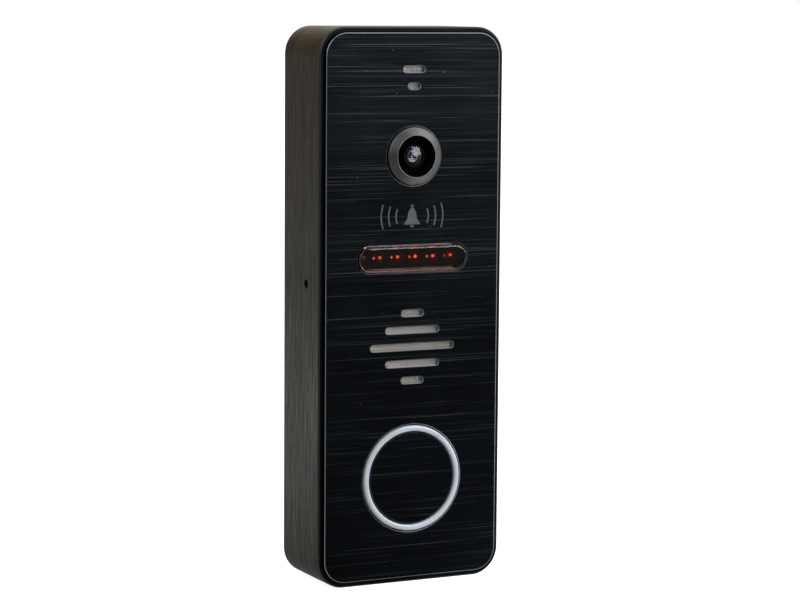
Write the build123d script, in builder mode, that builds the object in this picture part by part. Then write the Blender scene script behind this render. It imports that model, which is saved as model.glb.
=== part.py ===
from build123d import *
import os
from math import cos, radians, sin

# Video door station: a slim wall unit with a camera, night lamps, a speaker and a call
# button. An aluminium housing is closed by a brushed front plate, every working piece sits
# behind that plate, and the unit slides onto a bent steel bracket that is screwed to the wall.
#
# The wall is the plane y = 0. The unit stands out from it along -Y, +Z is up, and the origin
# is the middle of the wall face. Every size is in millimetres. A "level" is a distance out
# from the wall. In a sketch on a level, x is the unit's X and y is the unit's Z.

# ------------------------------------------------------------------ housing and front plate
housing_width = 47.2
housing_height = 130.0
housing_depth = 19.5
corner_radius = 6.6
front_edge_chamfer = 0.35
skirt_wall = 1.8  # wall round the rear recess
chamber_wall = 3.4  # wall round the electronics
front_wall = 1.8  # wall behind the front plate
rim_width = 1.05  # face of the housing round the front plate
standoff_radius = 2.0
small_clearance = 0.1
plate_thickness = 1.5
plate_proud = 0.9  # front plate stands out of the rim
plate_gap = 0.3  # groove between rim and plate
plate_chamfer = 0.15
plate_skin = 0.7  # plate left in front of the sound meshes
opening_chamfer = 0.15
camera_hole_chamfer = 0.3
adhesive_thickness = 0.2
adhesive_inset = 0.4

# ------------------------------------------------------------------ back cover and bracket
cover_setback = 3.6  # from the wall to the back cover
cover_thickness = 1.6
cover_clearance = 0.15
cover_panel_width = 26.0
cover_panel_height = 30.0
cover_panel_depth = 0.3
cover_boss_radius = 2.8
cover_boss_inset = 6.6  # from the housing's sides and ends
seal_thickness = 0.8
seal_width = 1.2
bracket_thickness = 1.2
bracket_end_gap = 13.0  # from the bracket's ends to the housing's ends
bracket_corner = 4.0
bracket_bend = 0.8
ear_setback = 4.05  # from the housing's side to the ear's outer face
ear_width = 8.0
ear_length = 15.0
ear_corner = 1.5
ear_clearance = 0.3
ear_boss_wall = 1.5
ear_z = 5.8
wall_slot_width = 4.2
wall_slot_length = 8.0
wall_slot_spacing = 86.0
cable_opening_width = 26.0
cable_opening_height = 52.0
cable_opening_corner = 4.0
set_screw_level = 12.5
set_screw_radius = 1.02
set_screw_length = 3.0
set_screw_gap = 0.15  # screw tip to ear
set_screw_socket = 0.65
set_screw_socket_depth = 1.3
tapped_hole_radius = 1.05

# ------------------------------------------------------------------ sound openings
mic_slot_drop = 9.7  # from the housing's top
mic_slot_length = 5.5
mic_port_drop = 13.6
mic_port_length = 3.1
mic_opening_width = 4.0
slot_height = 1.48
speaker_z = -9.1
speaker_slot_lengths = (5.6, 13.7, 21.5, 13.7, 5.6)
speaker_slot_pitch = 3.94
speaker_opening_inset = 2.4  # from the speaker to the opening in the wall
mesh_thickness = 0.3
mesh_rest = 0.9  # wall that a mesh rests on, all round

# ------------------------------------------------------------------ camera
camera_drop = 29.7  # from the housing's top
bezel_radius = 6.6
bezel_wall = 1.65
bezel_lip = 0.1  # mouth is smaller than the bezel's bore
bezel_land = 0.12
bezel_edge_proud = 0.3
bezel_proud = 1.55
bezel_gap = 0.25
bezel_tail_length = 1.5  # behind the front wall
bezel_flange = 1.0
bezel_flange_thickness = 0.6
thread_clearance = 0.03
nut_margin = 1.9
hood_clearance = 0.05
hood_setback = 0.3
hood_edge = 0.25
hood_floor_thickness = 0.4
hood_floor_margin = 1.1
lens_thread_radius = 3.5
lens_thread_clearance = 0.15
lens_nose_radius = 2.7
lens_nose_chamfer = 0.15
lens_nose_length = 2.7
lens_nose_clearance = 0.15
lens_tip_proud = 0.3
lens_tail = 12.6  # level of the barrel's rear end
lens_seal_thickness = 0.5
glass_radius = 2.35
glass_clearance = 0.02
front_glass_rim = 0.8
front_glass_dome = 0.55
front_glass_depth = 1.0
inner_glass_rim = 1.2
inner_glass_dome = 0.5
stop_radius = 1.3
stop_thickness = 0.8
holder_block_side = 13.0
holder_block_corner = 0.8
holder_block_height = 2.1
holder_tube_radius = 4.8
holder_bore_clearance = 0.05
lens_holder_setback = 0.3
glass_tail_gap = 0.2
filter_side = 7.0
filter_thickness = 0.5
filter_clearance = 0.1
sensor_side = 6.5
sensor_thickness = 0.8

# ------------------------------------------------------------------ night lamps
window_z = 11.55
window_length = 27.8
window_height = 5.9
window_proud = 0.7
window_gap = 0.3
window_round = 0.6
window_flange = 1.2
window_flange_thickness = 1.0
window_flange_clearance = 0.2
window_opening_inset = 0.6
gasket_thickness = 0.4
gasket_inset = 0.2
led_count = 5
led_pitch = 4.6
led_row_shift = 1.6
light_sensor_pitch = 4.2
led_radius = 1.5
led_flange_radius = 1.9
led_flange_thickness = 1.0
led_length = 5.0
led_tip_round = 1.45
led_tip_gap = 0.3  # lamp tip to window
led_hole_clearance = 0.1
led_lead_side = 0.5
led_lead_spread = 1.27
led_lead_tail = 0.8
led_spacer_margin = 0.85
led_spacer_gap = 0.1

# ------------------------------------------------------------------ speaker and microphone
speaker_radius = 14.0
speaker_depth = 5.9
speaker_gasket_thickness = 0.6
speaker_rim = 1.8
speaker_flange_thickness = 0.8
basket_height = 2.4  # from the yoke's rear face to the basket's floor
basket_wall = 0.6
basket_window_length = 5.0
basket_window_width = 1.6
yoke_radius = 8.0
yoke_wall = 1.0
yoke_floor = 0.8
magnet_radius = 5.0
magnet_thickness = 1.4
pole_radius = 5.1
pole_thickness = 0.8
coil_outer_radius = 5.65
coil_inner_radius = 5.25
coil_overlap = 0.4
coil_drop = 0.5
film_thickness = 0.15
film_rim = 0.8  # flat rim glued to the frame
film_roll_width = 1.2
film_roll_height = 0.5
film_dome_height = 1.0
retainer_thickness = 1.2
retainer_width = 5.2
retainer_ring_radius = 6.0
retainer_ring_bore = 3.2
retainer_reach = 2.7
contact_spacing = 7.0
contact_base_radius = 0.9
contact_base_height = 2.4
contact_pin_radius = 0.45
mic_radius = 3.0
mic_thickness = 2.6
mic_setback = 1.0
mic_port_radius = 0.9
mic_port_depth = 0.3
mic_pin_radius = 0.25
mic_pin_spacing = 2.54
mic_pin_tail = 0.6
boot_wall = 1.0
boot_clearance = 0.02
boot_lip = 0.7

# ------------------------------------------------------------------ call button
button_rise = 24.85  # from the housing's bottom
cap_radius = 10.85
cap_thickness = 1.2
cap_chamfer = 0.2
ring_gap = 0.25  # button to light ring
ring_band = 1.35
ring_proud = 0.45
ring_round = 0.45
ring_hole_gap = 0.3
ring_flange = 2.15
ring_flange_thickness = 1.3
ring_seal_thickness = 0.4
ring_leg_radius = 0.9
ring_leg_inset = 1.1  # from the flange's edge to a leg's middle
ring_leg_count = 4
ring_led_length = 2.0
ring_led_width = 1.6
ring_led_height = 0.8
ring_led_gap = 0.25
button_travel = 0.5
stop_gap = 0.05
plunger_crown = 1.3
plunger_wall = 1.25
plunger_flange = 1.05
plunger_flange_thickness = 1.2
plunger_side_clearance = 0.3
plunger_key_reach = 0.5
plunger_key_width = 2.0
plunger_post_radius = 2.2
post_clearance = 0.5
holder_wall = 1.6
holder_floor_thickness = 1.0
holder_seat_clearance = 0.02
holder_ear_thickness = 1.3
holder_ear_margin = 0.3
holder_ear_gap = 1.1
holder_ear_turns = (60, 120, 240, 300)
holder_foot = 11.7  # level of the holder's rear face
spring_radius = 6.0
spring_wire = 0.3
spring_turns = 3
spring_room = 7.4
tact_side = 6.0
tact_corner = 0.4
tact_body_height = 3.5
tact_plunger_radius = 1.75
tact_plunger_length = 1.95
tact_plunger_clearance = 0.08
tact_plunger_play = 0.1
tact_tip = 12.8  # level of the switch's plunger at rest
tact_gap = 0.02
tact_leg_spacing_x = 6.5
tact_leg_spacing_z = 4.5
tact_leg_thickness = 0.3
tact_leg_width = 0.7
tact_leg_height = 2.7
tact_leg_tail = 0.5
leg_hole_clearance = 0.05

# ------------------------------------------------------------------ boards and wire header
board_level = 6.6  # main board's rear face
board_thickness = 1.2
small_board_thickness = 1.0
board_side_gap = 1.55
board_end_gap = 6.6
board_corner = 1.5
small_board_corner = 1.0
board_notch_clearance = 0.4
board_screw_inset = 2.9
camera_board_level = 9.4
camera_board_width = 31.0
camera_board_height = 27.0
camera_screw_inset_x = 2.3
camera_screw_inset_z = 2.5
camera_link_drop = 7.5
led_board_width = 31.6
led_board_height = 13.6
led_board_rise = 2.25
led_screw_inset = 3.0
led_screw_rise = 4.6
link_length = 10.2
link_width = 2.5
chip_height = 1.0
header_z = -20.0
header_width = 16.0
header_height = 6.0
header_level = 2.4
header_wall = 0.8
header_key_width = 4.0
header_opening_gap = 0.2
header_seal_width = 1.4
header_pin_side = 0.6
header_pin_clearance = 0.02
header_pin_pitch = 2.5
header_pin_count = 5
header_pin_setback = 0.6

# ------------------------------------------------------------------ screws
board_screw_radius = 1.0
board_screw_length = 4.0
board_head_radius = 1.9
board_head_height = 1.2
board_screw_spare = 0.5
board_screw_clearance = 0.3
cover_screw_radius = 1.25
cover_screw_length = 5.5
cover_head_radius = 2.2
cover_head_height = 1.4
cover_hole_clearance = 0.2
shank_clearance = 0.02
head_round_share = 0.45
recess_long_share = 1.1
recess_short_share = 0.28
recess_depth_share = 0.6

# ------------------------------------------------------------------ levels out from the wall
cover_front = cover_setback + cover_thickness
ledge = cover_front + seal_thickness
plate_face = housing_depth + plate_proud
plate_back = plate_face - plate_thickness
pocket_floor = plate_back - adhesive_thickness
mesh_front = plate_face - plate_skin
mesh_back = mesh_front - mesh_thickness
wall_back = pocket_floor - front_wall
board_front = board_level + board_thickness
camera_board_front = camera_board_level + small_board_thickness
window_back = plate_back - window_flange_thickness
window_seat = window_back - gasket_thickness
window_face = plate_face + window_proud
led_board_front = window_back - led_tip_gap - led_length
led_board_level = led_board_front - small_board_thickness
speaker_rear = wall_back - speaker_gasket_thickness - speaker_depth
holder_ear_front = holder_foot + holder_ear_thickness

# ------------------------------------------------------------------ places and outlines
plate_inset = rim_width + plate_gap
mic_slot_z = housing_height / 2 - mic_slot_drop
mic_port_z = housing_height / 2 - mic_port_drop
mic_z = (mic_slot_z + mic_port_z) / 2
mic_opening_height = mic_slot_z - mic_port_z + 2 * slot_height
camera_z = housing_height / 2 - camera_drop
button_z = button_rise - housing_height / 2
ear_face = housing_width / 2 - ear_setback
ear_inner_face = ear_face - bracket_thickness
pocket_inner = ear_inner_face - ear_clearance
pocket_outer = ear_face + ear_clearance
pocket_height = ear_width + 2 * ear_clearance
ear_boss_inner = pocket_inner - ear_boss_wall
ear_boss_height = pocket_height + 2 * (seal_width + board_screw_spare)
cover_boss_x = housing_width / 2 - cover_boss_inset
cover_boss_z = housing_height / 2 - cover_boss_inset
cover_bosses = [
    (x, z) for x in (-cover_boss_x, cover_boss_x) for z in (-cover_boss_z, cover_boss_z)
]
slot_rows = [
    (speaker_z + (2 - row) * speaker_slot_pitch, length)
    for row, length in enumerate(speaker_slot_lengths)
]
speaker_opening_radius = speaker_radius - speaker_opening_inset
mesh_radius = speaker_opening_radius + mesh_rest
mic_mesh_width = mic_slot_length + 2 * mesh_rest
mic_mesh_height = mic_opening_height + 2 * mesh_rest
board_width = housing_width - 2 * chamber_wall - 2 * board_side_gap
board_height = housing_height - 2 * chamber_wall - 2 * board_end_gap
board_screw_x = board_width / 2 - board_screw_inset
board_screw_z = board_height / 2 - board_screw_inset
board_standoffs = [
    (x, z) for x in (-board_screw_x, board_screw_x) for z in (-board_screw_z, board_screw_z)
]
camera_screw_x = camera_board_width / 2 - camera_screw_inset_x
camera_screw_rise = camera_board_height / 2 - camera_screw_inset_z
camera_standoffs = [
    (x, camera_z + rise)
    for x in (-camera_screw_x, camera_screw_x)
    for rise in (-camera_screw_rise, camera_screw_rise)
]
led_board_z = window_z + led_board_rise
led_screw_x = led_board_width / 2 - led_screw_inset
led_screw_z = led_board_z + led_screw_rise
led_standoffs = [(-led_screw_x, led_screw_z), (led_screw_x, led_screw_z)]
led_first = led_row_shift - led_pitch * (led_count - 1) / 2
led_centres = [led_first + number * led_pitch for number in range(led_count)]
light_sensor_x = led_first - light_sensor_pitch
lamp_centres = [light_sensor_x, *led_centres]
retainer_screw_x = speaker_radius + retainer_reach
retainer_standoffs = [(-retainer_screw_x, speaker_z), (retainer_screw_x, speaker_z)]
ring_inner_radius = cap_radius + ring_gap
ring_outer_radius = ring_inner_radius + ring_band
button_hole_radius = ring_outer_radius + ring_hole_gap
ring_flange_radius = ring_outer_radius + ring_flange
leg_circle = ring_flange_radius - ring_leg_inset
holder_radius = ring_flange_radius + holder_wall
holder_ear_radius = standoff_radius + holder_ear_margin
holder_ear_reach = holder_radius + standoff_radius + holder_ear_gap
holder_standoffs = [
    (holder_ear_reach * cos(radians(turn)), button_z + holder_ear_reach * sin(radians(turn)))
    for turn in holder_ear_turns
]
tact_legs = [
    (x, button_z + rise)
    for x in (-tact_leg_spacing_x / 2, tact_leg_spacing_x / 2)
    for rise in (-tact_leg_spacing_z / 2, tact_leg_spacing_z / 2)
]
mic_pins = [(-mic_pin_spacing / 2, mic_z), (mic_pin_spacing / 2, mic_z)]


def level(distance):
    """A sketch plane at that distance out from the wall, facing away from the wall."""
    return Plane.XZ.offset(distance)


def section(centre_z):
    """A plane through a round piece's middle: x is the radius and y is minus the level."""
    return Plane(origin=(0, 0, centre_z), x_dir=(1, 0, 0), z_dir=(0, 0, 1))


def centre_line(centre_z):
    """The line square to the wall that a round piece is turned about."""
    return Axis((0, 0, centre_z), (0, -1, 0))


def profile(*points):
    """The outline of a turned piece's section, from (radius, level) points."""
    with BuildLine() as outline:
        Polyline(*[(radius, -distance) for radius, distance in points], close=True)
    make_face(outline.edges())


def unit_outline(inset):
    """The unit's rounded outline, drawn in by a margin all round."""
    RectangleRounded(housing_width - 2 * inset, housing_height - 2 * inset, corner_radius - inset)


def side_blocks(inner, height, mode=Mode.SUBTRACT):
    """A rectangle at each side at the ears' height, reaching in to a distance from the middle."""
    for side in (-1, 1):
        with Locations((side * housing_width / 2, ear_z)):
            Rectangle(housing_width - 2 * inner, height, mode=mode)


def window_outline(margin, mode=Mode.ADD):
    """The lamp window's rounded outline, grown by a margin all round."""
    with Locations((0, window_z)):
        SlotOverall(window_length + 2 * margin, window_height + 2 * margin, mode=mode)


def front_openings(margin):
    """Every opening in the front plate, each grown by a margin all round."""
    high = slot_height + 2 * margin
    with Locations((0, mic_slot_z)):
        SlotOverall(mic_slot_length + 2 * margin, high)
    with Locations((0, mic_port_z)):
        SlotOverall(mic_port_length + 2 * margin, high)
    for row_z, row_length in slot_rows:
        with Locations((0, row_z)):
            SlotOverall(row_length + 2 * margin, high)
    with Locations((0, camera_z)):
        Circle(bezel_radius + bezel_gap + margin)
    with Locations((0, button_z)):
        Circle(button_hole_radius + margin)
    window_outline(window_gap + margin)


def mesh_outlines(margin):
    """The outlines of the two sound meshes, each grown by a margin all round."""
    with Locations((0, speaker_z)):
        Circle(mesh_radius + margin)
    with Locations((0, mic_z)):
        RectangleRounded(mic_mesh_width + 2 * margin, mic_mesh_height + 2 * margin, mesh_rest)


def opening_edges(plate, at_camera):
    """The front edges of the plate's openings: the camera's hole alone, or all the others."""
    wires = plate.faces().sort_by(Axis.Y)[0].inner_wires()
    chosen = [wire for wire in wires if (abs(wire.center().Z - camera_z) < bezel_radius) == at_camera]
    return [edge for wire in chosen for edge in wire.edges()]


os.makedirs("parts", exist_ok=True)

# ------------------------------------------------------------------ housing
with BuildPart() as housing:
    with BuildSketch(level(0)):
        unit_outline(0)
    extrude(amount=housing_depth)
    chamfer(housing.faces().sort_by(Axis.Y)[0].edges(), front_edge_chamfer)
    # rear recess for the bracket and the back cover
    with BuildSketch(level(0)):
        unit_outline(skirt_wall)
    extrude(amount=ledge, mode=Mode.SUBTRACT)
    # chamber for the electronics, left solid where the ears go in
    with BuildSketch(level(ledge)):
        unit_outline(chamber_wall)
        side_blocks(ear_boss_inner, ear_boss_height)
    extrude(amount=wall_back - ledge, mode=Mode.SUBTRACT)
    # a pocket for each ear
    with BuildSketch(level(ledge)):
        for side in (-1, 1):
            with Locations((side * (pocket_inner + pocket_outer) / 2, ear_z)):
                Rectangle(pocket_outer - pocket_inner, pocket_height)
    extrude(amount=ear_length + ear_clearance - ledge, mode=Mode.SUBTRACT)
    # bosses for the back cover's screws
    with BuildSketch(level(cover_front)):
        with Locations(*cover_bosses):
            Circle(cover_boss_radius)
    extrude(amount=wall_back - cover_front)
    with BuildSketch(level(cover_front)):
        with Locations(*cover_bosses):
            Circle(cover_screw_radius)
    extrude(amount=cover_screw_length, mode=Mode.SUBTRACT)
    # standoffs for the boards, the speaker's retainer and the button's holder
    for standoffs, foot in (
        (board_standoffs, board_front),
        (camera_standoffs, camera_board_front),
        (led_standoffs, led_board_front),
        (retainer_standoffs, speaker_rear),
        (holder_standoffs, holder_ear_front),
    ):
        with BuildSketch(level(foot)):
            with Locations(*standoffs):
                Circle(standoff_radius)
        extrude(amount=wall_back - foot)
        with BuildSketch(level(foot)):
            with Locations(*standoffs):
                Circle(board_screw_radius)
        drill = min(board_screw_length + board_screw_spare, wall_back - foot)
        extrude(amount=drill, mode=Mode.SUBTRACT)
    # pocket that takes the front plate
    with BuildSketch(level(pocket_floor)):
        unit_outline(rim_width)
    extrude(amount=housing_depth - pocket_floor, mode=Mode.SUBTRACT)
    # seat for the bezel's flange
    with BuildSketch(level(pocket_floor - bezel_flange_thickness)):
        with Locations((0, camera_z)):
            Circle(bezel_radius + bezel_flange + hood_clearance)
    extrude(amount=bezel_flange_thickness, mode=Mode.SUBTRACT)
    # openings through the front wall
    with BuildSketch(level(wall_back)):
        with Locations((0, speaker_z)):
            Circle(speaker_opening_radius)
        with Locations((0, mic_z)):
            SlotOverall(mic_opening_height, mic_opening_width, rotation=90)
        with Locations((0, camera_z)):
            Circle(bezel_radius + hood_clearance)
        with Locations((0, button_z)):
            Circle(button_hole_radius)
        window_outline(-window_opening_inset)
    extrude(amount=front_wall, mode=Mode.SUBTRACT)
    # recess for the window's flange and its gasket
    with BuildSketch(level(window_seat)):
        window_outline(window_flange + window_flange_clearance)
    extrude(amount=pocket_floor - window_seat, mode=Mode.SUBTRACT)
    # tapped holes for the set screws, one from each side into its ear pocket
    for side in (-1, 1):
        outer_end = (side * housing_width / 2, -set_screw_level, ear_z)
        with BuildSketch(Plane(origin=outer_end, x_dir=(0, 1, 0), z_dir=(-side, 0, 0))):
            Circle(tapped_hole_radius)
        extrude(amount=housing_width / 2 - pocket_outer, mode=Mode.SUBTRACT)
housing.part.label = "housing"
export_step(housing.part, "parts/housing.step")

# ------------------------------------------------------------------ front plate
with BuildPart() as front_plate:
    with BuildSketch(level(plate_back)):
        unit_outline(plate_inset)
    extrude(amount=plate_thickness)
    chamfer(front_plate.faces().sort_by(Axis.Y)[0].edges(), plate_chamfer)
    with BuildSketch(level(plate_back)):
        front_openings(0)
    extrude(amount=plate_thickness, mode=Mode.SUBTRACT)
    for at_camera, opening_cut in ((True, camera_hole_chamfer), (False, opening_chamfer)):
        chamfer(opening_edges(front_plate, at_camera), opening_cut)
    # recesses behind the slots, where the sound meshes are glued in
    with BuildSketch(level(plate_back)):
        mesh_outlines(small_clearance)
    extrude(amount=mesh_front - plate_back, mode=Mode.SUBTRACT)
front_plate.part.label = "front_plate"
export_step(front_plate.part, "parts/front_plate.step")

with BuildPart() as plate_adhesive:
    with BuildSketch(level(pocket_floor)):
        unit_outline(plate_inset + adhesive_inset)
    extrude(amount=adhesive_thickness)
    with BuildSketch(level(pocket_floor)):
        front_openings(adhesive_inset)
        mesh_outlines(adhesive_inset)
        window_outline(window_flange + window_flange_clearance)
    extrude(amount=adhesive_thickness, mode=Mode.SUBTRACT)
plate_adhesive.part.label = "plate_adhesive"
export_step(plate_adhesive.part, "parts/plate_adhesive.step")

with BuildPart() as speaker_mesh:
    with BuildSketch(level(mesh_back)):
        with Locations((0, speaker_z)):
            Circle(mesh_radius)
    extrude(amount=mesh_thickness)
speaker_mesh.part.label = "speaker_mesh"
export_step(speaker_mesh.part, "parts/speaker_mesh.step")

with BuildPart() as mic_mesh:
    with BuildSketch(level(mesh_back)):
        with Locations((0, mic_z)):
            RectangleRounded(mic_mesh_width, mic_mesh_height, mesh_rest)
    extrude(amount=mesh_thickness)
mic_mesh.part.label = "mic_mesh"
export_step(mic_mesh.part, "parts/mic_mesh.step")

# ------------------------------------------------------------------ camera front
bezel_bore = bezel_radius - bezel_wall
bezel_mouth = bezel_bore - bezel_lip
bezel_tail = wall_back - bezel_tail_length
bezel_edge = plate_face + bezel_edge_proud
bezel_tip = plate_face + bezel_proud
flange_rear = pocket_floor - bezel_flange_thickness

with BuildPart() as camera_bezel:
    with BuildSketch(section(camera_z)):
        profile(
            (bezel_bore, bezel_tail),
            (bezel_radius, bezel_tail),
            (bezel_radius, flange_rear),
            (bezel_radius + bezel_flange, flange_rear),
            (bezel_radius + bezel_flange, pocket_floor),
            (bezel_radius, pocket_floor),
            (bezel_radius, bezel_edge),
            (bezel_mouth + bezel_land, bezel_tip),
            (bezel_mouth, bezel_tip),
            (bezel_mouth, bezel_tip - bezel_land),
            (bezel_bore, bezel_tip - bezel_land - bezel_lip),
        )
    revolve(axis=centre_line(camera_z))
camera_bezel.part.label = "camera_bezel"
export_step(camera_bezel.part, "parts/camera_bezel.step")

with BuildPart() as bezel_nut:
    with BuildSketch(level(bezel_tail)):
        with Locations((0, camera_z)):
            RegularPolygon(bezel_radius + nut_margin, 6, major_radius=False)
            Circle(bezel_radius + thread_clearance, mode=Mode.SUBTRACT)
    extrude(amount=bezel_tail_length)
bezel_nut.part.label = "bezel_nut"
export_step(bezel_nut.part, "parts/bezel_nut.step")

lens_tip = plate_face + lens_tip_proud
lens_shoulder = lens_tip - lens_nose_length
hood_floor_rear = lens_shoulder + lens_seal_thickness
hood_floor = hood_floor_rear + hood_floor_thickness
hood_radius = bezel_bore - hood_clearance
hood_bore = lens_thread_radius + lens_thread_clearance
hood_tip = bezel_tip - hood_setback
nose_bore = lens_nose_radius + lens_nose_clearance

with BuildPart() as camera_hood:
    with BuildSketch(section(camera_z)):
        profile(
            (hood_bore, bezel_tail),
            (hood_radius, bezel_tail),
            (hood_radius, hood_tip),
            (hood_radius - hood_edge, hood_tip),
            (lens_nose_radius + hood_floor_margin, hood_floor),
            (nose_bore, hood_floor),
            (nose_bore, hood_floor_rear),
            (hood_bore, hood_floor_rear),
        )
    revolve(axis=centre_line(camera_z))
camera_hood.part.label = "camera_hood"
export_step(camera_hood.part, "parts/camera_hood.step")

with BuildPart() as lens_seal:
    with BuildSketch(level(lens_shoulder)):
        with Locations((0, camera_z)):
            Circle(lens_thread_radius)
            Circle(lens_nose_radius + thread_clearance, mode=Mode.SUBTRACT)
    extrude(amount=lens_seal_thickness)
lens_seal.part.label = "lens_seal"
export_step(lens_seal.part, "parts/lens_seal.step")

# ------------------------------------------------------------------ lens and sensor
glass_seat = lens_tip - front_glass_depth
stop_rear = glass_seat - stop_thickness
glass_bore = glass_radius + glass_clearance

with BuildPart() as lens_barrel:
    with BuildSketch(section(camera_z)):
        profile(
            (glass_bore, lens_tail),
            (lens_thread_radius, lens_tail),
            (lens_thread_radius, lens_shoulder),
            (lens_nose_radius, lens_shoulder),
            (lens_nose_radius, lens_tip - lens_nose_chamfer),
            (lens_nose_radius - lens_nose_chamfer, lens_tip),
            (glass_bore, lens_tip),
            (glass_bore, glass_seat),
            (stop_radius, glass_seat),
            (stop_radius, stop_rear),
            (glass_bore, stop_rear),
        )
    revolve(axis=centre_line(camera_z))
lens_barrel.part.label = "lens_barrel"
export_step(lens_barrel.part, "parts/lens_barrel.step")

lens_holder_front = bezel_tail - lens_holder_setback
holder_shelf = camera_board_front + holder_block_height
inner_glass_rear = holder_shelf + glass_tail_gap

for name, rear, rim, dome in (
    ("lens_front_glass", glass_seat, front_glass_rim, front_glass_dome),
    ("lens_inner_glass", inner_glass_rear, inner_glass_rim, inner_glass_dome),
):
    # a flat back, a straight rim and a front that is part of a ball
    ball_radius = (glass_radius**2 + dome**2) / (2 * dome)
    ball_centre = (0, -(rear + rim + dome - ball_radius), camera_z)
    with BuildPart() as lens_glass:
        with BuildSketch(level(rear)):
            with Locations((0, camera_z)):
                Circle(glass_radius)
        extrude(amount=rim + dome)
        with Locations(ball_centre):
            Sphere(ball_radius, mode=Mode.INTERSECT)
    lens_glass.part.label = name
    export_step(lens_glass.part, f"parts/{name}.step")

with BuildPart() as lens_holder:
    with BuildSketch(level(camera_board_front)):
        with Locations((0, camera_z)):
            RectangleRounded(holder_block_side, holder_block_side, holder_block_corner)
            Rectangle(
                filter_side + 2 * filter_clearance,
                filter_side + 2 * filter_clearance,
                mode=Mode.SUBTRACT,
            )
    extrude(amount=holder_block_height)
    with BuildSketch(level(holder_shelf)):
        with Locations((0, camera_z)):
            Circle(holder_tube_radius)
            Circle(lens_thread_radius + holder_bore_clearance, mode=Mode.SUBTRACT)
    extrude(amount=lens_holder_front - holder_shelf)
lens_holder.part.label = "lens_holder"
export_step(lens_holder.part, "parts/lens_holder.step")

with BuildPart() as filter_glass:
    with BuildSketch(level(holder_shelf - filter_thickness)):
        with Locations((0, camera_z)):
            Rectangle(filter_side, filter_side)
    extrude(amount=filter_thickness)
filter_glass.part.label = "filter_glass"
export_step(filter_glass.part, "parts/filter_glass.step")

with BuildPart() as image_sensor:
    with BuildSketch(level(camera_board_front)):
        with Locations((0, camera_z)):
            Rectangle(sensor_side, sensor_side)
    extrude(amount=sensor_thickness)
image_sensor.part.label = "image_sensor"
export_step(image_sensor.part, "parts/image_sensor.step")

with BuildPart() as camera_board:
    with BuildSketch(level(camera_board_level)):
        with Locations((0, camera_z)):
            RectangleRounded(camera_board_width, camera_board_height, small_board_corner)
        with Locations(*camera_standoffs):
            Circle(board_screw_radius + board_screw_clearance, mode=Mode.SUBTRACT)
    extrude(amount=small_board_thickness)
camera_board.part.label = "camera_board"
export_step(camera_board.part, "parts/camera_board.step")

# ------------------------------------------------------------------ night lamps
with BuildPart() as lamp_window:
    with BuildSketch(level(window_back)):
        window_outline(window_flange)
    extrude(amount=window_flange_thickness)
    with BuildSketch(level(plate_back)):
        window_outline(0)
    extrude(amount=window_face - plate_back)
    fillet(lamp_window.faces().sort_by(Axis.Y)[0].edges(), window_round)
lamp_window.part.label = "lamp_window"
export_step(lamp_window.part, "parts/lamp_window.step")

with BuildPart() as window_gasket:
    with BuildSketch(level(window_seat)):
        window_outline(window_flange)
        window_outline(-gasket_inset, mode=Mode.SUBTRACT)
    extrude(amount=gasket_thickness)
window_gasket.part.label = "window_gasket"
export_step(window_gasket.part, "parts/window_gasket.step")

lamp_names = ["light_sensor"] + [f"ir_lamp_{number + 1}" for number in range(led_count)]
for name, lamp_x in zip(lamp_names, lamp_centres):
    with BuildPart() as lamp:
        with BuildSketch(level(led_board_front)):
            with Locations((lamp_x, window_z)):
                Circle(led_radius)
        extrude(amount=led_length)
        fillet(lamp.faces().sort_by(Axis.Y)[0].edges(), led_tip_round)
        with BuildSketch(level(led_board_front)):
            with Locations((lamp_x, window_z)):
                Circle(led_flange_radius)
        extrude(amount=led_flange_thickness)
    lamp.part.label = name
    export_step(lamp.part, f"parts/{name}.step")

lamp_pins = [(x + side * led_lead_spread, window_z) for x in lamp_centres for side in (-1, 1)]
with BuildPart() as lamp_leads:
    with BuildSketch(level(led_board_level - led_lead_tail)):
        with Locations(*lamp_pins):
            Rectangle(led_lead_side, led_lead_side)
    extrude(amount=small_board_thickness + led_lead_tail)
lamp_leads.part.label = "lamp_leads"
export_step(lamp_leads.part, "parts/lamp_leads.step")

with BuildPart() as lamp_board:
    with BuildSketch(level(led_board_level)):
        with Locations((0, led_board_z)):
            RectangleRounded(led_board_width, led_board_height, small_board_corner)
        with Locations(*led_standoffs):
            Circle(board_screw_radius + board_screw_clearance, mode=Mode.SUBTRACT)
        with Locations(*lamp_pins):
            Rectangle(led_lead_side, led_lead_side, mode=Mode.SUBTRACT)
    extrude(amount=small_board_thickness)
lamp_board.part.label = "lamp_board"
export_step(lamp_board.part, "parts/lamp_board.step")

spacer_rear = led_board_front + led_flange_thickness + led_spacer_gap
with BuildPart() as lamp_spacer:
    with BuildSketch(level(spacer_rear)):
        window_outline(led_spacer_margin)
        for lamp_x in lamp_centres:
            with Locations((lamp_x, window_z)):
                Circle(led_radius + led_hole_clearance, mode=Mode.SUBTRACT)
    extrude(amount=wall_back - spacer_rear)
lamp_spacer.part.label = "lamp_spacer"
export_step(lamp_spacer.part, "parts/lamp_spacer.step")

with BuildPart() as board_links:
    with BuildSketch(level(board_front)):
        with Locations((0, camera_z - camera_link_drop)):
            Rectangle(link_length, link_width)
    extrude(amount=camera_board_level - board_front)
    with BuildSketch(level(board_front)):
        with Locations((0, led_screw_z)):
            Rectangle(link_length, link_width)
    extrude(amount=led_board_level - board_front)
board_links.part.label = "board_links"
export_step(board_links.part, "parts/board_links.step")

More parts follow.
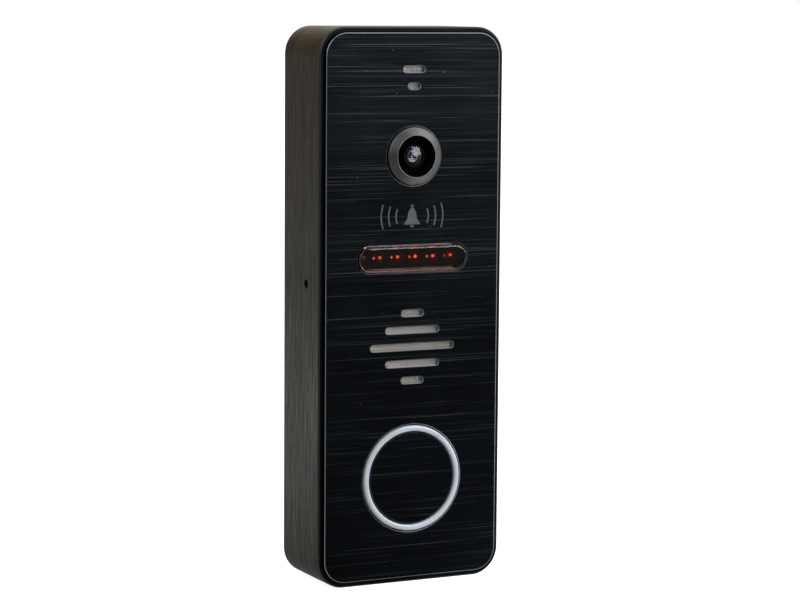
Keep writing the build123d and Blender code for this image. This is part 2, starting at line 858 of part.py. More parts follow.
# ------------------------------------------------------------------ speaker
gasket_bore = speaker_radius - speaker_rim
frame_front = wall_back - speaker_gasket_thickness
frame_rear = frame_front - speaker_flange_thickness
basket_floor = speaker_rear + basket_height
basket_floor_front = basket_floor + basket_wall
basket_seat = yoke_radius + yoke_wall
magnet_rear = speaker_rear + yoke_floor
pole_rear = magnet_rear + magnet_thickness
film_rear = frame_rear + basket_wall / 2
coil_front = film_rear - coil_drop
film_rim_inner = gasket_bore - film_rim
film_roll = film_rim_inner - film_roll_width

with BuildPart() as speaker_gasket:
    with BuildSketch(level(frame_front)):
        with Locations((0, speaker_z)):
            Circle(speaker_radius)
            Circle(gasket_bore, mode=Mode.SUBTRACT)
    extrude(amount=speaker_gasket_thickness)
speaker_gasket.part.label = "speaker_gasket"
export_step(speaker_gasket.part, "parts/speaker_gasket.step")

with BuildPart() as speaker_frame:
    with BuildSketch(section(speaker_z)):
        profile(
            (yoke_radius, basket_floor),
            (basket_seat, basket_floor),
            (speaker_radius - speaker_rim + basket_wall, frame_rear),
            (speaker_radius, frame_rear),
            (speaker_radius, frame_front),
            (gasket_bore, frame_front),
            (gasket_bore, film_rear),
            (film_rim_inner, film_rear),
            (basket_seat - small_clearance, basket_floor_front),
            (yoke_radius, basket_floor_front),
        )
    revolve(axis=centre_line(speaker_z))
    # windows through the basket's slope
    with BuildSketch(level(basket_floor)):
        with Locations((0, speaker_z)):
            with PolarLocations((basket_seat + gasket_bore) / 2, 4):
                Rectangle(basket_window_width, basket_window_length)
    extrude(amount=film_rear - basket_floor, mode=Mode.SUBTRACT)
speaker_frame.part.label = "speaker_frame"
export_step(speaker_frame.part, "parts/speaker_frame.step")

with BuildPart() as speaker_yoke:
    with BuildSketch(section(speaker_z)):
        profile(
            (0, speaker_rear),
            (yoke_radius, speaker_rear),
            (yoke_radius, basket_floor_front),
            (yoke_radius - yoke_wall, basket_floor_front),
            (yoke_radius - yoke_wall, magnet_rear),
            (0, magnet_rear),
        )
    revolve(axis=centre_line(speaker_z))
speaker_yoke.part.label = "speaker_yoke"
export_step(speaker_yoke.part, "parts/speaker_yoke.step")

with BuildPart() as speaker_magnet:
    with BuildSketch(level(magnet_rear)):
        with Locations((0, speaker_z)):
            Circle(magnet_radius)
    extrude(amount=magnet_thickness)
speaker_magnet.part.label = "speaker_magnet"
export_step(speaker_magnet.part, "parts/speaker_magnet.step")

with BuildPart() as speaker_pole:
    with BuildSketch(level(pole_rear)):
        with Locations((0, speaker_z)):
            Circle(pole_radius)
    extrude(amount=pole_thickness)
speaker_pole.part.label = "speaker_pole"
export_step(speaker_pole.part, "parts/speaker_pole.step")

with BuildPart() as speaker_cone:
    with BuildSketch(section(speaker_z)):
        profile(
            (0, coil_front + film_dome_height),
            (coil_outer_radius, coil_front),
            (film_roll, film_rear + film_roll_height),
            (film_rim_inner, film_rear),
            (gasket_bore, film_rear),
            (gasket_bore, film_rear + film_thickness),
            (film_rim_inner, film_rear + film_thickness),
            (film_roll, film_rear + film_roll_height + film_thickness),
            (coil_outer_radius, coil_front + film_thickness),
            (0, coil_front + film_dome_height + film_thickness),
        )
    revolve(axis=centre_line(speaker_z))
speaker_cone.part.label = "speaker_cone"
export_step(speaker_cone.part, "parts/speaker_cone.step")

with BuildPart() as voice_coil:
    with BuildSketch(level(pole_rear - coil_overlap)):
        with Locations((0, speaker_z)):
            Circle(coil_outer_radius)
            Circle(coil_inner_radius, mode=Mode.SUBTRACT)
    extrude(amount=coil_front - pole_rear + coil_overlap)
voice_coil.part.label = "voice_coil"
export_step(voice_coil.part, "parts/voice_coil.step")

with BuildPart() as speaker_retainer:
    with BuildSketch(level(speaker_rear - retainer_thickness)):
        with Locations((0, speaker_z)):
            SlotOverall(2 * retainer_screw_x + retainer_width, retainer_width)
            Circle(retainer_ring_radius)
            Circle(retainer_ring_bore, mode=Mode.SUBTRACT)
        with Locations(*retainer_standoffs):
            Circle(board_screw_radius + board_screw_clearance, mode=Mode.SUBTRACT)
    extrude(amount=retainer_thickness)
speaker_retainer.part.label = "speaker_retainer"
export_step(speaker_retainer.part, "parts/speaker_retainer.step")

contact_radius = (yoke_radius + basket_seat) / 2
contact_drop = (contact_radius**2 - (contact_spacing / 2) ** 2) ** 0.5
contacts = [(side * contact_spacing / 2, speaker_z - contact_drop) for side in (-1, 1)]
with BuildPart() as speaker_contacts:
    with BuildSketch(level(board_front)):
        with Locations(*contacts):
            Circle(contact_base_radius)
    extrude(amount=contact_base_height)
    with BuildSketch(level(board_front + contact_base_height)):
        with Locations(*contacts):
            Circle(contact_pin_radius)
    extrude(amount=basket_floor - board_front - contact_base_height)
speaker_contacts.part.label = "speaker_contacts"
export_step(speaker_contacts.part, "parts/speaker_contacts.step")

# ------------------------------------------------------------------ microphone
mic_front = wall_back - mic_setback
mic_rear = mic_front - mic_thickness

with BuildPart() as mic_boot:
    with BuildSketch(level(mic_rear)):
        with Locations((0, mic_z)):
            Circle(mic_radius + boot_wall)
            Circle(mic_radius + boot_clearance, mode=Mode.SUBTRACT)
    extrude(amount=mic_thickness)
    with BuildSketch(level(mic_front)):
        with Locations((0, mic_z)):
            Circle(mic_radius + boot_wall)
            Circle(mic_radius - boot_lip, mode=Mode.SUBTRACT)
    extrude(amount=mic_setback)
mic_boot.part.label = "mic_boot"
export_step(mic_boot.part, "parts/mic_boot.step")

with BuildPart() as microphone:
    with BuildSketch(level(mic_rear)):
        with Locations((0, mic_z)):
            Circle(mic_radius)
    extrude(amount=mic_thickness)
    with BuildSketch(level(mic_front - mic_port_depth)):
        with Locations((0, mic_z)):
            Circle(mic_port_radius)
    extrude(amount=mic_port_depth, mode=Mode.SUBTRACT)
    with BuildSketch(level(board_level - mic_pin_tail)):
        with Locations(*mic_pins):
            Circle(mic_pin_radius)
    extrude(amount=mic_rear - board_level + mic_pin_tail)
microphone.part.label = "microphone"
export_step(microphone.part, "parts/microphone.step")

# ------------------------------------------------------------------ call button
ring_face = plate_face + ring_proud
ring_front_seat = wall_back - ring_seal_thickness
ring_rear = ring_front_seat - ring_flange_thickness
leg_foot = board_front + ring_led_height + ring_led_gap
cap_rear = plate_face - cap_thickness
crown_rear = cap_rear - plunger_crown
stop_front = ring_rear - stop_gap
stop_rear_level = stop_front - plunger_flange_thickness
plunger_flange_radius = cap_radius + plunger_flange
plunger_bore = cap_radius - plunger_wall
bore_floor = stop_rear_level - button_travel - stop_gap
spring_floor = holder_foot + holder_floor_thickness

with BuildPart() as light_ring:
    with BuildSketch(section(button_z)):
        profile(
            (ring_inner_radius, ring_rear),
            (ring_flange_radius, ring_rear),
            (ring_flange_radius, ring_front_seat),
            (ring_outer_radius, ring_front_seat),
            (ring_outer_radius, ring_face),
            (ring_inner_radius, ring_face),
        )
    revolve(axis=centre_line(button_z))
    fillet(light_ring.faces().sort_by(Axis.Y)[0].edges(), ring_round)
    # legs that carry the light up from the board
    with BuildSketch(level(leg_foot)):
        with Locations((0, button_z)):
            with PolarLocations(leg_circle, ring_leg_count):
                Circle(ring_leg_radius)
    extrude(amount=ring_rear - leg_foot)
light_ring.part.label = "light_ring"
export_step(light_ring.part, "parts/light_ring.step")

with BuildPart() as button_seal:
    with BuildSketch(level(ring_front_seat)):
        with Locations((0, button_z)):
            Circle(ring_flange_radius)
            Circle(button_hole_radius + small_clearance, mode=Mode.SUBTRACT)
    extrude(amount=ring_seal_thickness)
button_seal.part.label = "button_seal"
export_step(button_seal.part, "parts/button_seal.step")

with BuildPart() as button_cap:
    with BuildSketch(level(cap_rear)):
        with Locations((0, button_z)):
            Circle(cap_radius)
    extrude(amount=cap_thickness)
    chamfer(button_cap.faces().sort_by(Axis.Y)[0].edges(), cap_chamfer)
button_cap.part.label = "button_cap"
export_step(button_cap.part, "parts/button_cap.step")

with BuildPart() as button_plunger:
    with BuildSketch(section(button_z)):
        profile(
            (0, tact_tip + tact_gap),
            (plunger_post_radius, tact_tip + tact_gap),
            (plunger_post_radius, crown_rear),
            (plunger_bore, crown_rear),
            (plunger_bore, stop_rear_level),
            (plunger_flange_radius, stop_rear_level),
            (plunger_flange_radius, stop_front),
            (cap_radius, stop_front),
            (cap_radius, cap_rear),
            (0, cap_rear),
        )
    revolve(axis=centre_line(button_z))
    # two keys that stop the button from turning
    with BuildSketch(level(stop_rear_level)):
        with Locations((0, button_z)):
            with PolarLocations(plunger_flange_radius, 2, start_angle=45):
                Rectangle(2 * plunger_key_reach, plunger_key_width)
    extrude(amount=plunger_flange_thickness)
button_plunger.part.label = "button_plunger"
export_step(button_plunger.part, "parts/button_plunger.step")

with BuildPart() as button_holder:
    with BuildSketch(level(holder_foot)):
        with Locations((0, button_z)):
            Circle(holder_radius)
    extrude(amount=wall_back - holder_foot)
    with BuildSketch(level(holder_foot)):
        with Locations(*holder_standoffs):
            Circle(holder_ear_radius)
        for turn in holder_ear_turns:
            with Locations(Location((0, button_z, 0), (0, 0, turn))):
                with Locations((holder_ear_reach / 2, 0)):
                    Rectangle(holder_ear_reach, 2 * holder_ear_radius)
    extrude(amount=holder_ear_thickness)
    # seat for the light ring's flange
    with BuildSketch(level(ring_rear)):
        with Locations((0, button_z)):
            Circle(ring_flange_radius + holder_seat_clearance)
    extrude(amount=wall_back - ring_rear, mode=Mode.SUBTRACT)
    # bore and key slots that the plunger's flange slides in, down to its stop
    with BuildSketch(level(bore_floor)):
        with Locations((0, button_z)):
            Circle(plunger_flange_radius + plunger_side_clearance)
            with PolarLocations(plunger_flange_radius, 2, start_angle=45):
                Rectangle(
                    2 * (plunger_key_reach + plunger_side_clearance),
                    plunger_key_width + 2 * plunger_side_clearance,
                )
    extrude(amount=ring_rear - bore_floor, mode=Mode.SUBTRACT)
    # spring pocket, post hole, leg holes and screw holes
    with BuildSketch(level(spring_floor)):
        with Locations((0, button_z)):
            Circle(spring_room)
    extrude(amount=bore_floor - spring_floor, mode=Mode.SUBTRACT)
    with BuildSketch(level(holder_foot)):
        with Locations((0, button_z)):
            Circle(plunger_post_radius + post_clearance)
            with PolarLocations(leg_circle, ring_leg_count):
                Circle(ring_leg_radius + small_clearance)
        with Locations(*holder_standoffs):
            Circle(board_screw_radius + board_screw_clearance)
    extrude(amount=ring_rear - holder_foot, mode=Mode.SUBTRACT)
button_holder.part.label = "button_holder"
export_step(button_holder.part, "parts/button_holder.step")

spring_start = spring_floor + spring_wire
spring_height = crown_rear - spring_wire - spring_start
with BuildPart() as button_spring:
    with BuildLine() as spring_path:
        Helix(
            spring_height / spring_turns,
            spring_height,
            spring_radius,
            center=(0, -spring_start, button_z),
            direction=(0, -1, 0),
        )
    with BuildSketch(Plane(origin=spring_path.line @ 0, z_dir=spring_path.line % 0)):
        Circle(spring_wire)
    sweep(is_frenet=True)
button_spring.part.label = "button_spring"
export_step(button_spring.part, "parts/button_spring.step")

tact_root = tact_tip - tact_plunger_length
tact_well = tact_root - button_travel - tact_plunger_play
with BuildPart() as tact_switch_body:
    with BuildSketch(level(board_front)):
        with Locations((0, button_z)):
            RectangleRounded(tact_side, tact_side, tact_corner)
    extrude(amount=tact_body_height)
    with BuildSketch(level(tact_well)):
        with Locations((0, button_z)):
            Circle(tact_plunger_radius + tact_plunger_clearance)
    extrude(amount=board_front + tact_body_height - tact_well, mode=Mode.SUBTRACT)
    with BuildSketch(level(board_level - tact_leg_tail)):
        with Locations(*tact_legs):
            Rectangle(tact_leg_thickness, tact_leg_width)
    extrude(amount=tact_leg_height)
    # a bridge from each leg into the body
    with BuildSketch(level(board_front + tact_leg_height - board_thickness - 2 * tact_leg_tail)):
        for rise in (-tact_leg_spacing_z / 2, tact_leg_spacing_z / 2):
            with Locations((0, button_z + rise)):
                Rectangle(tact_leg_spacing_x + tact_leg_thickness, tact_leg_width)
    extrude(amount=tact_leg_tail)
tact_switch_body.part.label = "tact_switch_body"
export_step(tact_switch_body.part, "parts/tact_switch_body.step")

with BuildPart() as tact_switch_plunger:
    with BuildSketch(level(tact_root)):
        with Locations((0, button_z)):
            Circle(tact_plunger_radius)
    extrude(amount=tact_plunger_length)
tact_switch_plunger.part.label = "tact_switch_plunger"
export_step(tact_switch_plunger.part, "parts/tact_switch_plunger.step")

with BuildPart() as ring_leds:
    with BuildSketch(level(board_front)):
        with Locations((0, button_z)):
            with PolarLocations(leg_circle, ring_leg_count):
                Rectangle(ring_led_length, ring_led_width)
    extrude(amount=ring_led_height)
ring_leds.part.label = "ring_leds"
export_step(ring_leds.part, "parts/ring_leds.step")

# ------------------------------------------------------------------ main board
# each package's middle x and z, then its width and its length
chip_places = (
    (0, 24.0, 10.0, 10.0),
    (-9.0, 42.0, 5.0, 6.2),
    (8.5, 40.0, 7.0, 5.0),
    (9.5, -4.0, 5.0, 4.0),
)
notch_x = ear_boss_inner - board_notch_clearance

with BuildPart() as main_board:
    with BuildSketch(level(board_level)):
        RectangleRounded(board_width, board_height, board_corner)
        side_blocks(notch_x, ear_boss_height + 2 * board_notch_clearance)
        with Locations(*board_standoffs):
            Circle(board_screw_radius + board_screw_clearance, mode=Mode.SUBTRACT)
        with Locations(*mic_pins):
            Circle(mic_pin_radius + leg_hole_clearance, mode=Mode.SUBTRACT)
        with Locations(*tact_legs):
            Rectangle(
                tact_leg_thickness + 2 * leg_hole_clearance,
                tact_leg_width + 2 * leg_hole_clearance,
                mode=Mode.SUBTRACT,
            )
    extrude(amount=board_thickness)
main_board.part.label = "main_board"
export_step(main_board.part, "parts/main_board.step")

with BuildPart() as board_chips:
    with BuildSketch(level(board_level - chip_height)):
        for chip_x, chip_z, chip_width, chip_length in chip_places:
            with Locations((chip_x, chip_z)):
                Rectangle(chip_width, chip_length)
    extrude(amount=chip_height)
board_chips.part.label = "board_chips"
export_step(board_chips.part, "parts/board_chips.step")

header_floor = board_level - header_wall
with BuildPart() as wire_header:
    with BuildSketch(level(header_level)):
        with Locations((0, header_z)):
            Rectangle(header_width, header_height)
            Rectangle(
                header_width - 2 * header_wall,
                header_height - 2 * header_wall,
                mode=Mode.SUBTRACT,
            )
        with Locations((0, header_z - header_height / 2)):
            Rectangle(header_key_width, 2 * header_wall, mode=Mode.SUBTRACT)
    extrude(amount=header_floor - header_level)
    with BuildSketch(level(header_floor)):
        with Locations((0, header_z)):
            Rectangle(header_width, header_height)
            with GridLocations(header_pin_pitch, 0, header_pin_count, 1):
                Rectangle(
                    header_pin_side + 2 * header_pin_clearance,
                    header_pin_side + 2 * header_pin_clearance,
                    mode=Mode.SUBTRACT,
                )
    extrude(amount=header_wall)
wire_header.part.label = "wire_header"
export_step(wire_header.part, "parts/wire_header.step")

with BuildPart() as header_pins:
    with BuildSketch(level(header_level + header_pin_setback)):
        with Locations((0, header_z)):
            with GridLocations(header_pin_pitch, 0, header_pin_count, 1):
                Rectangle(header_pin_side, header_pin_side)
    extrude(amount=board_level - header_level - header_pin_setback)
header_pins.part.label = "header_pins"
export_step(header_pins.part, "parts/header_pins.step")

with BuildPart() as header_seal:
    with BuildSketch(level(cover_front)):
        with Locations((0, header_z)):
            Rectangle(header_width + 2 * header_seal_width, header_height + 2 * header_seal_width)
            Rectangle(
                header_width + 2 * header_pin_clearance,
                header_height + 2 * header_pin_clearance,
                mode=Mode.SUBTRACT,
            )
    extrude(amount=board_level - cover_front)
header_seal.part.label = "header_seal"
export_step(header_seal.part, "parts/header_seal.step")

# ------------------------------------------------------------------ back cover
notch_inner = pocket_inner - ear_clearance
notch_height = pocket_height + 2 * ear_clearance


def cover_outline():
    """The back cover's outline, notched where the ears pass."""
    unit_outline(skirt_wall + cover_clearance)
    side_blocks(notch_inner, notch_height)


with BuildPart() as back_cover:
    with BuildSketch(level(cover_setback)):
        cover_outline()
        with Locations(*cover_bosses):
            Circle(cover_screw_radius + cover_hole_clearance, mode=Mode.SUBTRACT)
        with Locations((0, header_z)):
            Rectangle(
                header_width + 2 * header_opening_gap,
                header_height + 2 * header_opening_gap,
                mode=Mode.SUBTRACT,
            )
    extrude(amount=cover_thickness)
    # shallow panel sunk in the rear face
    with BuildSketch(level(cover_setback)):
        with Locations((0, camera_z)):
            RectangleRounded(cover_panel_width, cover_panel_height, board_corner)
    extrude(amount=cover_panel_depth, mode=Mode.SUBTRACT)
back_cover.part.label = "back_cover"
export_step(back_cover.part, "parts/back_cover.step")

with BuildPart() as back_seal:
    with BuildSketch(level(cover_front)):
        cover_outline()
        offset(amount=-seal_width, mode=Mode.SUBTRACT)
        with Locations(*cover_bosses):
            Circle(cover_boss_radius + small_clearance, mode=Mode.SUBTRACT)
    extrude(amount=seal_thickness)
back_seal.part.label = "back_seal"
export_step(back_seal.part, "parts/back_seal.step")

# ------------------------------------------------------------------ wall bracket
bracket_height = housing_height - 2 * bracket_end_gap
with BuildPart() as wall_bracket:
    with BuildSketch(level(0)):
        RectangleRounded(2 * ear_face, bracket_height, bracket_corner)
        RectangleRounded(
            cable_opening_width, cable_opening_height, cable_opening_corner, mode=Mode.SUBTRACT
        )
        for side in (-1, 1):
            with Locations((0, side * wall_slot_spacing / 2)):
                SlotOverall(wall_slot_length, wall_slot_width, rotation=90, mode=Mode.SUBTRACT)
    extrude(amount=bracket_thickness)
    # the two ears, bent up from the base
    with BuildSketch(level(0)):
        for side in (-1, 1):
            with Locations((side * (ear_face - bracket_thickness / 2), ear_z)):
                Rectangle(bracket_thickness, ear_width)
    extrude(amount=ear_length)
    upright_edges = wall_bracket.edges().filter_by(Axis.Z)
    bend_edges = upright_edges.filter_by(
        lambda edge: abs(abs(edge.center().X) - ear_inner_face) < stop_gap
        and abs(edge.center().Y + bracket_thickness) < stop_gap
    )
    fillet(bend_edges, bracket_bend)
    ear_tip_edges = wall_bracket.faces().sort_by(Axis.Y)[:2].edges().filter_by(Axis.X)
    fillet(ear_tip_edges, ear_corner)
wall_bracket.part.label = "wall_bracket"
export_step(wall_bracket.part, "parts/wall_bracket.step")

# ------------------------------------------------------------------ screws
with BuildPart() as set_screws:
    for side in (-1, 1):
        driven_end = (
            side * (ear_face + set_screw_gap + set_screw_length),
            -set_screw_level,
            ear_z,
        )
        driven_plane = Plane(origin=driven_end, x_dir=(0, 1, 0), z_dir=(-side, 0, 0))
        with BuildSketch(driven_plane):
            Circle(set_screw_radius)
        extrude(amount=set_screw_length)
        with BuildSketch(driven_plane):
            RegularPolygon(set_screw_socket, 6, major_radius=False)
        extrude(amount=set_screw_socket_depth, mode=Mode.SUBTRACT)
set_screws.part.label = "set_screws"
export_step(set_screws.part, "parts/set_screws.step")

screw_sets = (
    (
        "board_screws",
        [(x, camera_board_level, z) for x, z in camera_standoffs]
        + [(x, led_board_level, z) for x, z in led_standoffs]
        + [(x, board_level, z) for x, z in board_standoffs],
        (board_screw_radius, board_screw_length, board_head_radius, board_head_height),
    ),
    (
        "retainer_screws",
        [(x, speaker_rear - retainer_thickness, z) for x, z in retainer_standoffs]
        + [(x, holder_foot, z) for x, z in holder_standoffs],
        (board_screw_radius, board_screw_length, board_head_radius, board_head_height),
    ),
    (
        "cover_screws",
        [(x, cover_setback, z) for x, z in cover_bosses],
        (cover_screw_radius, cover_screw_length, cover_head_radius, cover_head_height),
    ),
)
for name, places, (shank, length, head, head_height) in screw_sets:
    # one cross-recess screw at the origin, its head's underside on y = 0
    with BuildPart() as screw:
        with BuildSketch(level(-head_height)):
            Circle(head)
        extrude(amount=head_height)
        fillet(screw.faces().sort_by(Axis.Y)[-1].edges(), head_height * head_round_share)
        with BuildSketch(level(-head_height)):
            Rectangle(head * recess_long_share, head * recess_short_share)
            Rectangle(head * recess_short_share, head * recess_long_share)
        extrude(amount=head_height * recess_depth_share, mode=Mode.SUBTRACT)
        with BuildSketch(level(0)):
            Circle(shank - shank_clearance)
        extrude(amount=length)
    with BuildPart() as screws:
        with Locations(*[(x, -head_level, z) for x, head_level, z in places]):
            add(screw.part)
    screws.part.label = name
    export_step(screws.part, f"parts/{name}.step")
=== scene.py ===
"""Video door station: a wall unit with a brushed front plate, camera, night lamps and call button.

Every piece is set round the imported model, in metres and in its frame: the wall is y = 0, the
unit stands out along -Y and +Z is up.
"""

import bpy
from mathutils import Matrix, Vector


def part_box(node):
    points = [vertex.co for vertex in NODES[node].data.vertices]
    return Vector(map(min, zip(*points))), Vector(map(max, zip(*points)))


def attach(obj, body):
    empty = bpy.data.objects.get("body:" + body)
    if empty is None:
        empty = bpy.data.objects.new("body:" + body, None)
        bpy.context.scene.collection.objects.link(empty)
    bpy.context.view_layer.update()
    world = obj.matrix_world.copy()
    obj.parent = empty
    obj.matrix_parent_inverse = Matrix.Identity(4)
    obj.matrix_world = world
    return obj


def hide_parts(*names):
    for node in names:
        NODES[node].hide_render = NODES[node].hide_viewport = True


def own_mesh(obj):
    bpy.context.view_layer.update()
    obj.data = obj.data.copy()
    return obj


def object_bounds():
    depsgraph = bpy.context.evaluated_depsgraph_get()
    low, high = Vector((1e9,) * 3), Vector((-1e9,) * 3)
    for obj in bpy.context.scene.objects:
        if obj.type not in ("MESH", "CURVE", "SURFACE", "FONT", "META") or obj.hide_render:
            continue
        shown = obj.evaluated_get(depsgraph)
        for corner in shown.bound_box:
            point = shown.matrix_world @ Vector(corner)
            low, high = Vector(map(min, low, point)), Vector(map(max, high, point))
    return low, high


bl_info = {
    "name": "Video Door Station",
    "version": (1, 0, 0),
    "blender": (4, 5, 0),
    "location": "3D View > Sidebar > Door Station",
    "description": "Builds the finishes and fine pieces of a wall-mounted video door station",
    "category": "Object",
}

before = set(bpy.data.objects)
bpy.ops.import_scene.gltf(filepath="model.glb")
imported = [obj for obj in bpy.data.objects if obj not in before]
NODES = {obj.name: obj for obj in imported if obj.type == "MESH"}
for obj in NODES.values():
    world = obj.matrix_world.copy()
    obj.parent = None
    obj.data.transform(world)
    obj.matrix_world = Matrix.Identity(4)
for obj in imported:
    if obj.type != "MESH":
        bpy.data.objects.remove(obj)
CAD_BOX = [list(corner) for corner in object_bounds()]

import math

import bmesh
import bpy
from bpy.props import FloatProperty, FloatVectorProperty, PointerProperty
from mathutils import Matrix, Vector

MM = 0.001
TO_FRONT = (math.pi / 2, 0.0, 0.0)  # the turn that points +Z out of the wall


def middle(node):
    """The middle of a node's box."""
    low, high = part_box(node)
    return (low + high) / 2


CAMERA_CENTRE = middle("camera_bezel")
BUTTON_CENTRE = middle("button_cap")
SPEAKER_CENTRE = middle("speaker_frame")
PLATE_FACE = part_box("front_plate")[0].y
LAMPS = [f"ir_lamp_{number}" for number in range(1, 6)]
LAMP_FLANGE = 1.0 * MM
# the lead frame in each lamp: rear and front radius over the cup's radius, length, how far it
# stands to the side, how far out it starts, and its finish
LAMP_METAL = (
    ("lamp_posts", 0.7, 0.7, 1.85 * MM, -0.50 * MM, 0.0, "lead_frame"),
    ("lamp_anvils", 0.7, 0.9, 1.95 * MM, 0.50 * MM, 0.0, "lead_frame"),
    # the cups and tips take the glow finish, whose emitted glow paints hot spots of reflected warm light
    ("lamp_cups", 0.6, 1.0, 0.30 * MM, -0.50 * MM, 1.86 * MM, "glow"),
    ("lamp_tips", 0.9, 0.6, 0.20 * MM, 0.50 * MM, 1.96 * MM, "glow"),
)
# across, up, radius and colour of each painted glint on the inner lens: an emitted spot that stands in
# for a reflection
LENS_PAINTED_GLINTS = (
    (0.42 * MM, 0.10 * MM, 0.26 * MM, (0.50, 0.34, 0.80)),
    (-0.28 * MM, -0.12 * MM, 0.26 * MM, (0.70, 0.38, 0.42)),
    (0.80 * MM, -0.02 * MM, 0.22 * MM, (0.75, 0.68, 0.50)),
)


# -------- settings
def colour(name, description, value):
    """A colour setting."""
    return FloatVectorProperty(
        name=name, description=description, subtype="COLOR", size=3, min=0, max=1, default=value
    )


def length(name, description, value):
    """A length setting, in metres."""
    return FloatProperty(
        name=name, description=description, unit="LENGTH", min=0, default=value, precision=5
    )


def strength(name, description, value):
    """A strength setting."""
    return FloatProperty(name=name, description=description, min=0, default=value)


def turn(name, description, degrees):
    """An angle setting."""
    return FloatProperty(
        name=name, description=description, subtype="ANGLE", default=math.radians(degrees)
    )


class DOOR_PG_finishes(bpy.types.PropertyGroup):
    """Colours of the surfaces that show."""

    plate: colour("Plate", "Anodised front plate and button", (0.0040, 0.0053, 0.0068))
    plate_streak: colour("Plate streaks", "Plate's brushing", (0.060, 0.074, 0.083))
    housing: colour("Housing", "Anodised housing", (0.024, 0.0212, 0.0160))
    housing_streak: colour("Housing streaks", "Housing's brushing", (0.30, 0.275, 0.22))
    rim: colour("Rim", "Housing's dark front rim", (0.008, 0.009, 0.010))
    rim_edge: colour("Rim edge", "Housing's machined front edge", (0.075, 0.085, 0.095))
    cut_edge: colour("Cut edge", "Bright machined edges of the plate", (0.46, 0.46, 0.48))
    bezel: colour("Bezel", "Satin metal ring round the camera", (0.20, 0.20, 0.197))
    ring: colour("Light ring", "Milky acrylic round the button", (0.66, 0.735, 0.81))
    window: colour("Lamp window", "Smoky acrylic over the night lamps", (0.55, 0.30, 0.26))
    lamp: colour("Lamp body", "Tinted epoxy of the night lamps", (0.50, 0.075, 0.020))
    # glow: colour of the painted hot spots in the lamp cups, standing in for reflected warm light
    glow: colour("Lamp glow", "Light of a warm reflector cup", (1.0, 0.42, 0.08))
    mesh: colour("Sound mesh", "Woven wire behind the slots", (0.92, 0.90, 0.86))
    ink: colour("Pictogram", "Printed bell", (0.092, 0.112, 0.132))


class DOOR_PG_sizes(bpy.types.PropertyGroup):
    """Sizes of the fine pieces."""

    mesh_pitch: length("Mesh pitch", "From one wire of the sound mesh to the next", 0.52 * MM)
    mesh_wire: length("Mesh wire", "Thickness of the mesh's wire", 0.25 * MM)
    mesh_cross_wire: length("Mesh cross wire", "Thickness of the wires across", 0.10 * MM)
    lamp_cup: length("Lamp cup", "Radius of the reflector cup in a night lamp", 0.19 * MM)
    # lamp_glow: strength of the painted hot spots in the lamp cups
    lamp_glow: strength("Lamp glow", "How strongly a cup glows", 4.0)
    bell_height: length("Bell height", "Height of the printed bell", 5.0 * MM)
    ink_thickness: length("Ink thickness", "How far the print stands on the plate", 0.015 * MM)


class DOOR_PG_stage(bpy.types.PropertyGroup):
    """The camera and the lights."""

    azimuth: turn("Azimuth", "Camera's turn round the unit", -26.25)
    elevation: turn("Elevation", "Camera's rise", 6.61)
    roll: turn("Roll", "Camera's lean", 0.427)
    distance: length("Distance", "Camera to the unit", 0.617)
    lens: FloatProperty(name="Lens", description="Focal length", unit="CAMERA", default=117.4)
    light: strength("Lights", "Strength of the soft lights", 1.0)
    surround: strength("Surround", "Strength of the pale surround", 1.0)


# -------- node helpers
def put(tree, kind, inputs=None, **fields):
    """A node with its fields set, and its inputs set or, where the value is a socket, linked."""
    node = tree.nodes.new(kind)
    for name, value in fields.items():
        setattr(node, name, value)
    for key, value in (inputs or {}).items():
        if isinstance(value, bpy.types.NodeSocket):
            tree.links.new(value, node.inputs[key])
        else:
            node.inputs[key].default_value = value
    return node


def result(tree, kind, inputs=None, **fields):
    """The first output of a node like put's."""
    return put(tree, kind, inputs, **fields).outputs[0]


def work(tree, operation, first, second=0.0, third=0.0):
    """A Math node's result."""
    inputs = {0: first, 1: second, 2: third}
    return result(tree, "ShaderNodeMath", inputs, operation=operation)


def times(tree, first, second):
    """Two values multiplied."""
    return work(tree, "MULTIPLY", first, second)


def span(tree, value, low, high, start=0.0, end=1.0, smooth=True):
    """A value's place between low and high, clamped, as start to end."""
    kind = "SMOOTHSTEP" if smooth else "LINEAR"
    inputs = {"Value": value, "From Min": low, "From Max": high, "To Min": start, "To Max": end}
    return result(tree, "ShaderNodeMapRange", inputs, interpolation_type=kind)


def blend(tree, factor, first, second, kind="MIX"):
    """Two colours mixed."""
    inputs = {0: factor, 6: first, 7: second}
    return put(tree, "ShaderNodeMix", inputs, data_type="RGBA", blend_type=kind).outputs[2]


def noise(tree, vector, scale, detail=2.0, rough=0.5):
    """A Noise Texture's value."""
    inputs = {"Vector": vector, "Scale": scale, "Detail": detail, "Roughness": rough}
    return put(tree, "ShaderNodeTexNoise", inputs).outputs["Fac"]


def link(tree, target, **sources):
    """Links each value to the socket of its name, with a space for each underscore."""
    for name, value in sources.items():
        tree.links.new(value, target[name.replace("_", " ")])


def opaque(rgb):
    """A colour with full alpha."""
    return (*rgb, 1.0)


def add_inputs(tree, inputs):
    """Adds an input of the fitting kind for each name and its default value."""
    kinds = {float: "NodeSocketFloat", int: "NodeSocketInt", tuple: "NodeSocketVector"}
    for label, value in inputs.items():
        socket = tree.interface.new_socket(label, in_out="INPUT", socket_type=kinds[type(value)])
        socket.default_value = value


def new_group(name, inputs, *outputs):
    """An empty shader group: the tree, its inputs and its outputs."""
    group = bpy.data.node_groups.new(name, "ShaderNodeTree")
    add_inputs(group, inputs)
    for label in outputs:
        group.interface.new_socket(label, in_out="OUTPUT", socket_type="NodeSocketFloat")
    start = group.nodes.new("NodeGroupInput")
    end = group.nodes.new("NodeGroupOutput")
    return group, start.outputs, end.inputs


def object_place(tree):
    """The surface point in the unit's own frame."""
    return put(tree, "ShaderNodeTexCoord").outputs["Object"]


